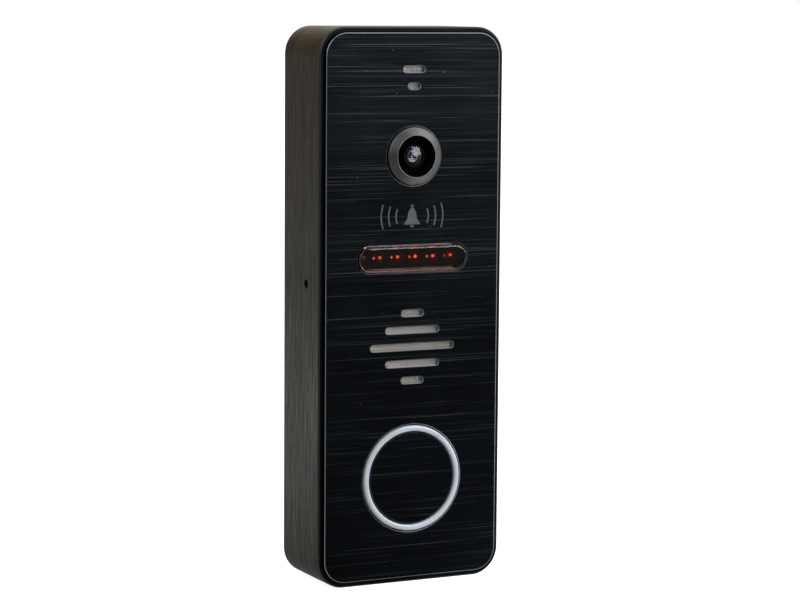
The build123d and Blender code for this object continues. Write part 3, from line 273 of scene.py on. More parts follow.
# -------- shared effects
def brushed_grain():
    """Straight brushing: fine lines, and a few longer bright scratches."""
    tree, given, made = new_group(
        "Brushed Grain", {"Stretch": (25.0, 25.0, 5000.0), "Scratch Level": 0.62},
        "Grain", "Scratches", "Height",
    )
    vector = result(
        tree, "ShaderNodeVectorMath", {0: object_place(tree), 1: given["Stretch"]}, operation="MULTIPLY"
    )
    fine = noise(tree, vector, 1.0, 3.0, 0.6)
    hairs = noise(tree, vector, 0.83, 2.0, 0.7)
    patches = noise(tree, vector, 0.05, 2.0)
    level = given["Scratch Level"]
    scratches = span(tree, hairs, level, work(tree, "ADD", level, 0.1))
    scratches = times(tree, scratches, span(tree, patches, 0.36, 0.60, 0.10, 1.0))
    grain = span(tree, fine, 0.34, 0.68)
    height = work(tree, "SUBTRACT", grain, times(tree, scratches, 0.5))
    link(tree, made, Grain=grain, Scratches=scratches, Height=height)
    return tree


def turned_grain():
    """Rings left by a lathe, round a centre line square to the wall."""
    tree, given, made = new_group(
        "Turned Grain", {"Centre": (0.0, 0.0, 0.0), "Lines": 9000.0}, "Grain", "Radius"
    )
    offset = result(
        tree, "ShaderNodeVectorMath", {0: object_place(tree), 1: given["Centre"]}, operation="SUBTRACT"
    )
    axes = put(tree, "ShaderNodeSeparateXYZ", {0: offset}).outputs
    square = times(tree, axes["Z"], axes["Z"])
    distance = work(tree, "SQRT", work(tree, "MULTIPLY_ADD", axes["X"], axes["X"], square))
    radius = times(tree, distance, given["Lines"])
    depth = times(tree, axes["Y"], given["Lines"])
    vector = result(tree, "ShaderNodeCombineXYZ", {0: radius, 1: depth})
    link(tree, made, Grain=span(tree, noise(tree, vector, 1.0, 2.0), 0.3, 0.7), Radius=distance)
    return tree


def cut_edge():
    """Finds faces that slope away from the front, and faces that look straight out."""
    tree, _, made = new_group("Cut Edge", {}, "Mask", "Front")
    normal = put(tree, "ShaderNodeNewGeometry").outputs["True Normal"]
    facing = times(tree, put(tree, "ShaderNodeSeparateXYZ", {0: normal}).outputs["Y"], -1.0)
    mask = times(tree, span(tree, facing, 0.35, 0.5), span(tree, facing, 0.97, 0.9))
    link(tree, made, Mask=mask, Front=span(tree, facing, 0.9, 0.97))
    return tree


def dust():
    """Sparse pale specks."""
    tree, given, made = new_group("Dust", {"Cells": 900.0, "Amount": 0.08}, "Mask")
    cells = put(tree, "ShaderNodeTexVoronoi", {"Vector": object_place(tree), "Scale": given["Cells"]})
    pick = put(tree, "ShaderNodeSeparateColor", {0: cells.outputs["Color"]}).outputs
    size = work(tree, "MULTIPLY_ADD", pick[1], 0.05, 0.04)
    near = work(tree, "LESS_THAN", cells.outputs["Distance"], size)
    chosen = work(tree, "LESS_THAN", pick[0], given["Amount"])
    link(tree, made, Mask=times(tree, near, chosen))
    return tree


def cloudy_tone():
    """Slow drift of tone over a surface."""
    tree, given, made = new_group("Cloudy Tone", {"Scale": 60.0, "Low": 0.85, "High": 1.15}, "Tone")
    drift = noise(tree, object_place(tree), given["Scale"], 3.0)
    link(tree, made, Tone=span(tree, drift, 0.3, 0.7, given["Low"], given["High"]))
    return tree


def mould_texture():
    """The fine pebbled skin of a moulded part."""
    tree, given, made = new_group("Mould Texture", {"Scale": 4000.0}, "Height", "Shade")
    place = object_place(tree)
    pebble = noise(tree, place, given["Scale"], 3.0, 0.6)
    broad = noise(tree, place, times(tree, given["Scale"], 0.08), 2.0)
    shade = work(tree, "MULTIPLY_ADD", pebble, 0.5, times(tree, broad, 0.5))
    link(tree, made, Height=pebble, Shade=shade)
    return tree


EFFECTS = {}


def effect(tree, name, **inputs):
    """A shared effect placed in a material: its outputs."""
    makers = {
        "Brushed Grain": brushed_grain,
        "Turned Grain": turned_grain,
        "Cut Edge": cut_edge,
        "Dust": dust,
        "Cloudy Tone": cloudy_tone,
        "Mould Texture": mould_texture,
    }
    if name not in EFFECTS:
        EFFECTS[name] = makers[name]()
    node = tree.nodes.new("ShaderNodeGroup")
    node.node_tree = EFFECTS[name]
    for key, value in inputs.items():
        node.inputs[key.replace("_", " ")].default_value = value
    return node.outputs


def cloudy(tree, scale, low, high):
    """A tone that drifts slowly between two levels."""
    return effect(tree, "Cloudy Tone", Scale=scale, Low=low, High=high)["Tone"]


def specks_of(tree, amount):
    """Where specks of dust lie."""
    return effect(tree, "Dust", Amount=amount)["Mask"]


# -------- finishes
def surface(name, **constants):
    """A new material: its tree and its shader, with the given constants on the shader's sockets."""
    made = bpy.data.materials.new(name)
    made.use_nodes = True
    tree = made.node_tree
    tree.nodes.clear()
    shader = tree.nodes.new("ShaderNodeBsdfPrincipled")
    output = tree.nodes.new("ShaderNodeOutputMaterial")
    tree.links.new(shader.outputs[0], output.inputs["Surface"])
    for key, value in constants.items():
        shader.inputs[key.replace("_", " ")].default_value = value
    return made, tree, shader.inputs


def raise_bump(tree, target, height, depth, strength_value=1.0):
    """A Bump node on the shader's normal; depth is in metres."""
    bump = put(tree, "ShaderNodeBump", {"Height": height, "Strength": strength_value, "Distance": depth})
    tree.links.new(bump.outputs[0], target["Normal"])


def tinted(tree, rgb, tone):
    """A colour made lighter or darker by a tone."""
    grey = result(tree, "ShaderNodeCombineColor", {0: tone, 1: tone, 2: tone})
    return blend(tree, 1.0, opaque(rgb), grey, "MULTIPLY")


def brushed(name, rgb, streak, stretch, rough=0.34, edge=None, front=None, scratch_level=0.58):
    """Anodised metal brushed one way, with its own colours on cut edges and on the front."""
    made, tree, target = surface(name, Metallic=1.0)
    grain = effect(tree, "Brushed Grain", Stretch=stretch, Scratch_Level=scratch_level)
    tone = cloudy(tree, 45.0, 0.75, 1.3)
    bright = times(tree, grain["Scratches"], 0.8)
    lines = work(tree, "MULTIPLY_ADD", grain["Grain"], 0.10, bright)
    shade = blend(tree, lines, tinted(tree, rgb, tone), opaque(streak))
    shade = blend(tree, specks_of(tree, 0.03), shade, (0.25, 0.25, 0.24, 1))
    roughness = span(tree, grain["Grain"], 0.0, 1.0, rough + 0.1, rough - 0.06)
    masks = effect(tree, "Cut Edge")
    if front:
        shade = blend(tree, masks["Front"], shade, opaque(front))
    if edge:
        shade = blend(tree, masks["Mask"], shade, opaque(edge))
        roughness = work(tree, "MULTIPLY_ADD", masks["Mask"], 0.06, roughness)
    link(tree, target, Base_Color=shade, Roughness=roughness)
    raise_bump(tree, target, grain["Height"], 0.004 * MM, 0.35)
    return made


def turned(name, rgb, centre, rough=0.36):
    """Satin metal turned on a lathe."""
    made, tree, target = surface(name, Metallic=1.0)
    grain = effect(tree, "Turned Grain", Centre=centre)["Grain"]
    tone = cloudy(tree, 240.0, 0.86, 1.16)
    shade = times(tree, tone, span(tree, grain, 0, 1, 0.9, 1.1))
    roughness = span(tree, grain, 0.0, 1.0, rough - 0.05, rough + 0.08)
    link(tree, target, Base_Color=tinted(tree, rgb, shade), Roughness=roughness)
    raise_bump(tree, target, grain, 0.003 * MM, 0.3)
    return made


def plated(name, rgb, rough=0.32, spangle=900.0):
    """Plated sheet or wire: crystal spangle and rolling marks."""
    made, tree, target = surface(name, Metallic=1.0)
    cells = put(tree, "ShaderNodeTexVoronoi", {"Vector": object_place(tree), "Scale": spangle})
    pick = result(tree, "ShaderNodeSeparateColor", {0: cells.outputs["Color"]})
    tone = cloudy(tree, 130.0, 0.8, 1.1)
    shade = times(tree, tone, span(tree, pick, 0, 1, 0.88, 1.06))
    fine = effect(tree, "Mould Texture", Scale=9000.0)
    roughness = span(tree, pick, 0.0, 1.0, rough - 0.07, rough + 0.1)
    link(tree, target, Base_Color=tinted(tree, rgb, shade), Roughness=roughness)
    raise_bump(tree, target, fine["Height"], 0.002 * MM, 0.3)
    return made


def moulded(name, rgb, rough=0.5, scale=4000.0, depth=0.01 * MM, metallic=0.0, gloss=0.5):
    """Moulded plastic or rubber with a pebbled skin."""
    made, tree, target = surface(name, Metallic=metallic, Specular_IOR_Level=gloss)
    skin = effect(tree, "Mould Texture", Scale=scale)
    specks = specks_of(tree, 0.06)
    shade = tinted(tree, rgb, span(tree, skin["Shade"], 0.3, 0.7, 0.8, 1.2))
    roughness = span(tree, skin["Shade"], 0.3, 0.7, rough - 0.08, rough + 0.1)
    dusty = blend(tree, specks, shade, (0.25, 0.24, 0.22, 1))
    link(tree, target, Base_Color=dusty, Roughness=roughness)
    raise_bump(tree, target, skin["Height"], depth, 0.5)
    return made


def clear(name, rgb, rough=0.02, ior=1.49, gloss=0.5, through=1.0):
    """Clear or tinted acrylic, glass or epoxy, with faint smears."""
    made, tree, target = surface(
        name, Metallic=0.0, IOR=ior, Specular_IOR_Level=gloss, Transmission_Weight=through
    )
    smear = cloudy(tree, 300.0, 0.0, 1.0)
    specks = specks_of(tree, 0.025)
    dusty = blend(tree, specks, opaque(rgb), (0.5, 0.5, 0.5, 1))
    worn = work(tree, "MULTIPLY_ADD", smear, 0.02, rough)
    link(tree, target, Base_Color=dusty, Roughness=work(tree, "MULTIPLY_ADD", specks, 0.3, worn))
    return made


def lens_barrel_black(name):
    """Black barrel with baffle rings, and a pale grey band round the stop as a painted highlight."""
    made, tree, target = surface(name, Metallic=0.0, Specular_IOR_Level=0.1)
    rings = effect(tree, "Turned Grain", Centre=CAMERA_CENTRE, Lines=5200.0)
    # the band from inner to outer: a painted highlight round the stop
    inner, outer = 1.25 * MM, 1.62 * MM
    band = times(
        tree,
        span(tree, rings["Radius"], inner, inner + 0.05 * MM),
        span(tree, rings["Radius"], outer, outer - 0.12 * MM),
    )
    shade = tinted(tree, (0.0035, 0.0038, 0.0046), span(tree, rings["Grain"], 0, 1, 0.4, 1.8))
    painted_highlight_shade = blend(tree, band, shade, (0.16, 0.15, 0.17, 1))
    link(tree, target, Base_Color=painted_highlight_shade, Roughness=span(tree, rings["Grain"], 0.0, 1.0, 0.35, 0.55))
    raise_bump(tree, target, rings["Grain"], 0.01 * MM, 0.4)
    return made


def inner_lens_painted_glints(name):
    """A deep, coated lens element: dark, with emitted violet, rose and straw spots as painted glints,
    and a painted grey ring highlight near its rim.
    """
    made, tree, target = surface(
        name, Metallic=0.0, IOR=1.6, Emission_Strength=0.8,
        Coat_Weight=0.3, Coat_Roughness=0.02, Coat_Tint=(0.85, 0.7, 1.0, 1.0),
    )
    rings = effect(tree, "Turned Grain", Centre=CAMERA_CENTRE, Lines=2600.0)
    shade = blend(tree, rings["Grain"], (0.004, 0.003, 0.006, 1), (0.012, 0.009, 0.018, 1))
    painted_glints = (0.0, 0.0, 0.0, 1.0)
    # each glint is an emitted spot: a painted reflection
    for across, up, size, hue in LENS_PAINTED_GLINTS:
        spot = CAMERA_CENTRE + Vector((across, 0.0, up))
        away = effect(tree, "Turned Grain", Centre=spot, Lines=2600.0)["Radius"]
        painted_glints = blend(tree, span(tree, away, size, size * 0.3), painted_glints, opaque(hue))
    # the rim band: a painted grey ring highlight, emitted like the glints
    rim = times(
        tree,
        span(tree, rings["Radius"], 0.95 * MM, 1.08 * MM),
        span(tree, rings["Radius"], 1.27 * MM, 1.20 * MM),
    )
    painted_glints = blend(tree, rim, painted_glints, (0.30, 0.29, 0.30, 1.0))
    roughness = span(tree, rings["Grain"], 0.0, 1.0, 0.04, 0.14)
    link(tree, target, Base_Color=shade, Emission_Color=painted_glints, Roughness=roughness)
    return made


def milky(name, rgb):
    """Milky acrylic that spreads light."""
    made, tree, target = surface(
        name, Metallic=0.0, IOR=1.49, Coat_Weight=0.5, Coat_Roughness=0.08,
        Subsurface_Weight=0.35, Subsurface_Radius=(1.0, 1.0, 1.0), Subsurface_Scale=0.6 * MM,
    )
    tone = cloudy(tree, 160.0, 0.93, 1.05)
    rings = effect(tree, "Turned Grain", Centre=BUTTON_CENTRE, Lines=3500.0)["Grain"]
    roughness = span(tree, rings, 0.0, 1.0, 0.24, 0.34)
    link(tree, target, Base_Color=tinted(tree, rgb, tone), Roughness=roughness)
    return made


def circuit_board(name):
    """Solder mask over copper tracks, with pads."""
    made, tree, target = surface(name, Metallic=0.0, Coat_Weight=0.4)
    place = object_place(tree)
    laid = result(tree, "ShaderNodeMapping", {0: place, "Rotation": TO_FRONT})
    tracks = put(
        tree, "ShaderNodeTexBrick",
        {
            "Vector": laid, "Scale": 260.0, "Mortar Size": 0.035, "Mortar Smooth": 0.3,
            "Brick Width": 1.9, "Row Height": 0.42,
        },
    ).outputs["Fac"]
    holes = put(tree, "ShaderNodeTexVoronoi", {"Vector": place, "Scale": 330.0})
    vias = span(tree, holes.outputs["Distance"], 0.16, 0.1)
    tone = cloudy(tree, 90.0, 0.85, 1.1)
    mask = blend(tree, tracks, tinted(tree, (0.010, 0.075, 0.032), tone), (0.02, 0.13, 0.055, 1))
    shade = blend(tree, vias, mask, (0.55, 0.5, 0.38, 1))
    metal = times(tree, vias, 0.9)
    roughness = span(tree, tracks, 0.0, 1.0, 0.42, 0.3)
    link(tree, target, Base_Color=shade, Metallic=metal, Roughness=roughness)
    raise_bump(tree, target, work(tree, "ADD", tracks, vias), 0.03 * MM, 0.6)
    return made


def wound_wire(name):
    """Turns of enamelled copper."""
    made, tree, target = surface(name, Metallic=1.0)
    turns = put(
        tree, "ShaderNodeTexWave", {"Vector": object_place(tree), "Scale": 2600.0, "Distortion": 0.4},
        bands_direction="Y",
    ).outputs["Fac"]
    shade = tinted(tree, (0.62, 0.24, 0.10), span(tree, turns, 0, 1, 0.6, 1.1))
    link(tree, target, Base_Color=shade, Roughness=span(tree, turns, 0.0, 1.0, 0.4, 0.25))
    raise_bump(tree, target, turns, 0.03 * MM, 0.8)
    return made


def painted_hot_spots(name, rgb, amount):
    """Warm metal in a lamp with a faint emitted glow: painted hot spots that stand in for warm light
    reflected in the reflector cups.
    """
    made, tree, target = surface(name, Metallic=1.0, Roughness=0.3, Emission_Strength=amount)
    tone = cloudy(tree, 1800.0, 0.35, 1.25)
    lit = tinted(tree, rgb, tone)
    link(tree, target, Base_Color=lit, Emission_Color=lit)
    return made


# name, colour, roughness and spangle of the plated finishes
PLATED = {
    "zinc": ("zinc_sheet", (0.42, 0.42, 0.41)),
    "screw": ("zinc_screw", (0.46, 0.44, 0.38), 0.28, 3000.0),
    "black_screw": ("black_oxide", (0.02, 0.02, 0.021), 0.38, 3000.0),
    "spring": ("spring_wire", (0.4, 0.4, 0.39), 0.25, 4000.0),
    "tin": ("tinned_pins", (0.6, 0.59, 0.56), 0.25, 5000.0),
    "gold": ("gold_contacts", (0.72, 0.5, 0.2), 0.25, 5000.0),
    "lead_frame": ("lead_frame", (0.22, 0.15, 0.12), 0.35, 5000.0),
}
# name, colour, roughness, scale and depth of the skin, metallic and gloss of the moulded finishes
MOULDED = {
    "black": ("black_plastic", (0.006, 0.006, 0.006), 0.55),
    "hood": ("hood_black", (0.0012, 0.0012, 0.0014), 0.7, 6000.0, 0.01 * MM, 0.0, 0.04),
    "spacer": ("spacer_black", (0.0030, 0.0012, 0.0008), 0.6, 4000.0, 0.01 * MM, 0.0, 0.08),
    "cover": ("cover_plastic", (0.013, 0.013, 0.014), 0.55, 1600.0, 0.03 * MM),
    "rubber": ("seal_rubber", (0.011, 0.011, 0.011), 0.75, 3000.0),
    "tape": ("foam_tape", (0.02, 0.02, 0.02), 0.85, 1800.0, 0.04 * MM),
    "nylon": ("natural_nylon", (0.62, 0.58, 0.48), 0.45, 2500.0),
    "chip": ("chip_package", (0.012, 0.012, 0.013), 0.4, 7000.0),
    "film": ("speaker_film", (0.018, 0.017, 0.016), 0.35, 2000.0),
    "led_package": ("led_package", (0.7, 0.68, 0.55), 0.3, 5000.0),
}
# name, colour, roughness, index and gloss of the clear finishes
CLEAR = {
    "lens": ("coated_lens", (0.90, 0.88, 0.97), 0.0, 1.5, 0.04),
    "filter": ("filter_glass", (0.6, 0.85, 0.85), 0.01, 1.5),
    "clear_lamp": ("clear_epoxy", (0.55, 0.5, 0.5), 0.06, 1.55),
}
MADE = {}


def finish(name):
    """The finish of that name, made the first time that it is asked for."""
    hue = bpy.context.scene.door_finishes
    glow = bpy.context.scene.door_sizes.lamp_glow
    makers = {
        "plate": lambda: brushed(
            "plate_black", hue.plate, hue.plate_streak, (26.0, 26.0, 5400.0), edge=hue.cut_edge[:]
        ),
        "button": lambda: brushed(
            "button_black", hue.plate, hue.plate_streak, (28.0, 28.0, 5200.0), edge=hue.rim_edge[:]
        ),
        "housing": lambda: brushed(
            "housing_bronze", hue.housing, hue.housing_streak, (100.0, 4800.0, 100.0),
            rough=0.42, edge=hue.rim_edge[:], front=hue.rim[:], scratch_level=0.63,
        ),
        "bezel": lambda: turned("bezel_satin", hue.bezel, CAMERA_CENTRE),
        "zinc_turned": lambda: turned("zinc_turned", (0.45, 0.45, 0.43), SPEAKER_CENTRE),
        "wire_mesh": lambda: plated("woven_wire", hue.mesh, 0.4, 6000.0),
        "ink": lambda: moulded("pictogram_ink", hue.ink, 0.45, 9000.0, 0.002 * MM, 0.6),
        "barrel": lambda: lens_barrel_black("barrel_black"),
        "inner_lens": lambda: inner_lens_painted_glints("inner_lens"),
        "board": lambda: circuit_board("solder_mask"),
        "coil": lambda: wound_wire("enamelled_copper"),
        "window": lambda: clear("smoky_acrylic", hue.window, 0.03),
        "lamp": lambda: clear("red_epoxy", hue.lamp, 0.06, 1.55, through=0.8),
        "ring": lambda: milky("milky_acrylic", hue.ring),
        "glow": lambda: painted_hot_spots("warm_cup", hue.glow, glow),
    }
    if name not in MADE:
        for maker, table in ((plated, PLATED), (moulded, MOULDED), (clear, CLEAR)):
            if name in table:
                MADE[name] = maker(*table[name])
        if name in makers:
            MADE[name] = makers[name]()
    return MADE[name]


def dress(name, *nodes):
    """Gives CAD nodes a finish."""
    for node in nodes:
        slots = NODES[node].data.materials
        slots.clear()
        slots.append(finish(name))


# -------- piece helpers
def new_piece(name, mesh, body, material, slot, *replaced):
    """A finished piece at the origin, riding on its body."""
    piece = bpy.data.objects.new(name, mesh)
    bpy.context.scene.collection.objects.link(piece)
    mesh.materials.clear()
    mesh.materials.append(finish(material))
    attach(piece, body)
    if replaced:
        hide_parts(*replaced)
    return piece


def grow(name, tree, values):
    """Runs a Geometry Nodes tree with its inputs set by name, and returns the plain mesh."""
    holder = bpy.data.objects.new(name + "_tree", bpy.data.meshes.new(name + "_start"))
    modifier = holder.modifiers.new("Grow", "NODES")
    modifier.node_group = tree
    for item in tree.interface.items_tree:
        if item.item_type == "SOCKET" and item.in_out == "INPUT" and item.name in values:
            modifier[item.identifier] = values[item.name]
    bpy.context.scene.collection.objects.link(holder)
    depsgraph = bpy.context.evaluated_depsgraph_get()
    mesh = bpy.data.meshes.new_from_object(holder.evaluated_get(depsgraph))
    bpy.data.objects.remove(holder)
    mesh.name = name
    if not mesh.polygons:
        raise RuntimeError(f"{name} came out empty")
    return mesh


def geometry_tree(name, inputs):
    """A Geometry Nodes tree with a Material input: the tree, its inputs, and a call that ends it."""
    tree = bpy.data.node_groups.new(name, "GeometryNodeTree")
    add_inputs(tree, inputs)
    tree.interface.new_socket("Material", in_out="INPUT", socket_type="NodeSocketMaterial")
    tree.interface.new_socket("Geometry", in_out="OUTPUT", socket_type="NodeSocketGeometry")
    start = tree.nodes.new("NodeGroupInput")

    def end(geometry):
        real = result(tree, "GeometryNodeRealizeInstances", {0: geometry})
        painted = result(
            tree, "GeometryNodeSetMaterial", {"Geometry": real, "Material": start.outputs["Material"]}
        )
        put(tree, "NodeGroupOutput", {0: painted})

    return tree, start.outputs, end


def vector_of(tree, x=0.0, y=0.0, z=0.0):
    """A Combine XYZ node's result."""
    return result(tree, "ShaderNodeCombineXYZ", {0: x, 1: y, 2: z})


def point_axes(tree):
    """The X, Y and Z of each point."""
    place = result(tree, "GeometryNodeInputPosition")
    return put(tree, "ShaderNodeSeparateXYZ", {0: place}).outputs


def round_wire(tree, path, radius, sides):
    """Round wire along a path."""
    section = result(
        tree, "GeometryNodeCurvePrimitiveCircle", {"Resolution": sides, "Radius": radius}
    )
    return result(
        tree, "GeometryNodeCurveToMesh",
        {"Curve": path, "Profile Curve": section, "Fill Caps": True},
    )


# -------- woven sound mesh
def weave_tree():
    """Wire woven at 45 degrees and trimmed to a rounded rectangle, flat in X and Z."""
    tree, given, end = geometry_tree(
        "Woven Wire",
        {
            "Half Width": 1.0, "Half Height": 1.0, "Corner": 0.5,
            "Pitch": 1.0, "Wire": 0.4, "Cross Wire": 0.2,
        },
    )
    reach = work(
        tree, "SQRT",
        work(tree, "MULTIPLY_ADD", given["Half Width"], given["Half Width"],
             times(tree, given["Half Height"], given["Half Height"])),
    )
    half_count = work(tree, "CEIL", work(tree, "DIVIDE", reach, given["Pitch"]))
    count = work(tree, "MULTIPLY_ADD", half_count, 2.0, 1.0)
    first = times(tree, times(tree, half_count, given["Pitch"]), -1.0)
    start, offset = vector_of(tree, first), vector_of(tree, given["Pitch"])
    row = result(
        tree, "GeometryNodeMeshLine", {"Count": count, "Start Location": start, "Offset": offset}
    )
    low = vector_of(tree, 0.0, 0.0, first)
    high = vector_of(tree, 0.0, 0.0, times(tree, first, -1.0))
    wire = result(tree, "GeometryNodeCurvePrimitiveLine", {"Start": low, "End": high})
    wires = result(tree, "GeometryNodeInstanceOnPoints", {"Points": row, "Instance": wire})
    wires = result(tree, "GeometryNodeRealizeInstances", {0: wires})
    step = times(tree, given["Pitch"], 1.0 / 3.0)
    wires = result(
        tree, "GeometryNodeResampleCurve", {"Curve": wires, "Length": step}, mode="LENGTH"
    )
    axes = point_axes(tree)
    along = work(tree, "DIVIDE", work(tree, "ADD", axes["X"], axes["Z"]), given["Pitch"])
    phase = times(tree, along, math.pi)
    swing = times(tree, work(tree, "COSINE", phase), times(tree, given["Wire"], 0.25))
    eighth = math.pi / 4
    layers = tree.nodes.new("GeometryNodeJoinGeometry")
    for quarter, side, wire_name in ((-eighth, 1.0, "Wire"), (eighth, -1.0, "Cross Wire")):
        set_back = times(tree, given["Wire"], 0.25 * side)
        lift = work(tree, "SUBTRACT", times(tree, swing, side), set_back)
        waved = result(
            tree, "GeometryNodeSetPosition", {"Geometry": wires, "Offset": vector_of(tree, 0.0, lift)}
        )
        laid = result(
            tree, "GeometryNodeTransform", {"Geometry": waved, "Rotation": (0.0, quarter, 0.0)}
        )
        trimmed = result(
            tree, "GeometryNodeDeleteGeometry", {"Geometry": laid, "Selection": outside_of(tree, given)},
            domain="POINT",
        )
        radius = times(tree, given[wire_name], 0.5)
        tree.links.new(round_wire(tree, trimmed, radius, 5), layers.inputs[0])
    end(layers.outputs[0])
    return tree


def outside_of(tree, given):
    """Whether a point lies outside the rounded rectangle."""
    spot = point_axes(tree)
    over = []
    for axis, half in (("X", "Half Width"), ("Z", "Half Height")):
        straight = work(tree, "SUBTRACT", given[half], given["Corner"])
        past = work(tree, "SUBTRACT", work(tree, "ABSOLUTE", spot[axis]), straight)
        over.append(work(tree, "MAXIMUM", past, 0.0))
    square = times(tree, over[1], over[1])
    away = work(tree, "SQRT", work(tree, "MULTIPLY_ADD", over[0], over[0], square))
    return work(tree, "GREATER_THAN", away, given["Corner"])


def woven_piece(tree, name, node, corner):
    """The woven wire that stands for one flat mesh node."""
    fine = bpy.context.scene.door_sizes
    low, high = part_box(node)
    mesh = grow(name, tree, {
        "Half Width": (high.x - low.x) / 2,
        "Half Height": (high.z - low.z) / 2,
        "Corner": corner,
        "Pitch": fine.mesh_pitch,
        "Wire": fine.mesh_wire,
        "Cross Wire": fine.mesh_cross_wire,
        "Material": finish("wire_mesh"),
    })
    set_back = 0.06 * MM
    mesh.transform(Matrix.Translation(middle(node) + Vector((0.0, set_back, 0.0))))
    return new_piece(name, mesh, "panel", "wire_mesh", "steel_mesh", node)


# -------- night lamps
def lamp_row_tree():
    """A row of round posts or cups, one in each lamp, standing towards the front."""
    tree, given, end = geometry_tree(
        "Lamp Row",
        {
            "Lamps": 5, "Pitch": 1.0, "Rear Radius": 0.2, "Front Radius": 0.2,
            "Length": 2.0, "Across": 0.0, "Start": 0.0,
        },
    )
    post = result(
        tree, "GeometryNodeMeshCone",
        {
            "Vertices": 16,
            "Radius Top": given["Front Radius"],
            "Radius Bottom": given["Rear Radius"],
            "Depth": given["Length"],
        },
    )
    place = vector_of(tree, given["Across"], times(tree, given["Start"], -1.0))
    stood = result(
        tree, "GeometryNodeTransform",
        {"Geometry": post, "Rotation": TO_FRONT, "Translation": place},
    )
    row = result(
        tree, "GeometryNodeMeshLine",
        {"Count": given["Lamps"], "Offset": vector_of(tree, given["Pitch"])},
    )
    end(result(tree, "GeometryNodeInstanceOnPoints", {"Points": row, "Instance": stood}))
    return tree


def turned_mesh(name, centre, outline, flat_at=None):
    """A closed mesh turned from an outline of radius and Y, with a flat where a lamp has one."""
    shell = bmesh.new()
    sides = 40
    rings = []
    for radius, y in outline:
        if radius == 0.0:
            rings.append([shell.verts.new((centre.x, y, centre.z))])
            continue
        ring = []
        for side in range(sides):
            angle = 2 * math.pi * side / sides
            x = radius * math.cos(angle)
            if flat_at and radius > flat_at:
                x = min(x, flat_at + 0.05 * MM)
            ring.append(shell.verts.new((centre.x + x, y, centre.z + radius * math.sin(angle))))
        rings.append(ring)
    for lower, upper in zip(rings, rings[1:]):
        for side in range(sides):
            after = (side + 1) % sides
            corners = [lower[side % len(lower)], lower[after % len(lower)]]
            corners += [upper[after % len(upper)], upper[side % len(upper)]]
            shell.faces.new(list(dict.fromkeys(corners)))
    bmesh.ops.recalc_face_normals(shell, faces=shell.faces)
    mesh = bpy.data.meshes.new(name)
    shell.to_mesh(mesh)
    shell.free()
    mesh.polygons.foreach_set("use_smooth", [True] * len(mesh.polygons))
    mesh.set_sharp_from_angle(angle=math.radians(35))
    return mesh


def lamp_shell(name, node, material, slot):
    """A lamp's epoxy body: flange with its flat, barrel and dome, turned from its outline."""
    low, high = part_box(node)
    rear, tip = high.y, low.y
    flange = (high.x - low.x) / 2
    barrel, bevel, front = 1.5 * MM, 0.1 * MM, rear - LAMP_FLANGE
    outline = [(0.0, rear), (flange, rear), (flange, front + bevel), (flange - bevel, front)]
    outline.append((barrel, front))
    steps = 10
    for step in range(steps + 1):
        angle = math.pi / 2 * step / steps
        outline.append((barrel * math.cos(angle), tip + barrel - barrel * math.sin(angle)))
    outline[-1] = (0.0, tip)
    mesh = turned_mesh(name, middle(node), outline, flat_at=barrel)
    return new_piece(name, mesh, "panel", material, slot, node)


def second_lens():
    """The element in the lens's stop: a low dome with a flat back, turned from its outline."""
    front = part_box("lens_front_glass")[1].y
    radius, rise, deep, thick = 1.27 * MM, 0.36 * MM, 0.45 * MM, 0.2 * MM
    rim = front + deep
    outline = [(0.0, rim + thick), (radius, rim + thick)]
    steps = 10
    for step in range(steps + 1):
        out = radius * (1.0 - step / steps)
        outline.append((out, rim - rise * (1.0 - (out / radius) ** 2)))
    mesh = turned_mesh("second_lens", CAMERA_CENTRE, outline)
    # its inner_lens finish carries the painted glints and the painted ring highlight
    return new_piece("second_lens", mesh, "panel", "inner_lens", "lens_glass")


# -------- button spring
def coil_tree():
    """A coil of round wire that rises towards the front."""
    tree, given, end = geometry_tree(
        "Coil", {"Turns": 3.0, "Height": 1.0, "Radius": 1.0, "Wire Radius": 0.1}
    )
    path = result(
        tree, "GeometryNodeCurveSpiral",
        {
            "Resolution": 48,
            "Rotations": given["Turns"],
            "Start Radius": given["Radius"],
            "End Radius": given["Radius"],
            "Height": given["Height"],
        },
    )
    coil = round_wire(tree, path, given["Wire Radius"], 12)
    end(result(tree, "GeometryNodeTransform", {"Geometry": coil, "Rotation": TO_FRONT}))
    return tree


def button_coil():
    """The spring behind the call button: a coil of round wire as long as the spring node."""
    low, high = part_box("button_spring")
    wire = 0.3 * MM
    long = high.y - low.y
    mesh = grow("button_coil", coil_tree(), {
        "Turns": 3.0,
        "Height": long - 2 * wire,
        "Radius": (high.x - low.x) / 2 - wire,
        "Wire Radius": wire,
        "Material": finish("spring"),
    })
    mesh.polygons.foreach_set("use_smooth", [True] * len(mesh.polygons))
    centre = middle("button_spring")
    mesh.transform(Matrix.Translation((centre.x, high.y - wire, centre.z)))
    coil = new_piece("button_coil", mesh, "panel", "spring", "spring_steel", "button_spring")
    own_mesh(coil)
    return coil


# -------- printed bell
def ring_band(cx, cz, inner, outer, start, end, steps=24):
    """The outline of an arc band, as points in X and Z."""
    def at(radius, angle):
        return (cx + radius * math.cos(angle), cz + radius * math.sin(angle))
    angles = [start + (end - start) * step / steps for step in range(steps + 1)]
    return [at(outer, angle) for angle in angles] + [at(inner, angle) for angle in reversed(angles)]


def bell_outline(cx, cz, high):
    """The outline of a hand bell, with a rounded shoulder and a flared lip."""
    half = high * 0.40
    right = []
    for step in range(25):
        along = step / 24
        shoulder = math.sin(min(along * 1.9, 1.0) * math.pi / 2) * 0.55
        flare = 0.45 * max(0.0, (along - 0.55) / 0.45) ** 2
        right.append((half * (shoulder + flare), high * (0.46 - 0.78 * along)))
    right.append((half * 1.04, -high * 0.39))
    left = [(-x, z) for x, z in reversed(right)]
    return [(cx + x, cz + z) for x, z in right[1:] + left[:-1]]


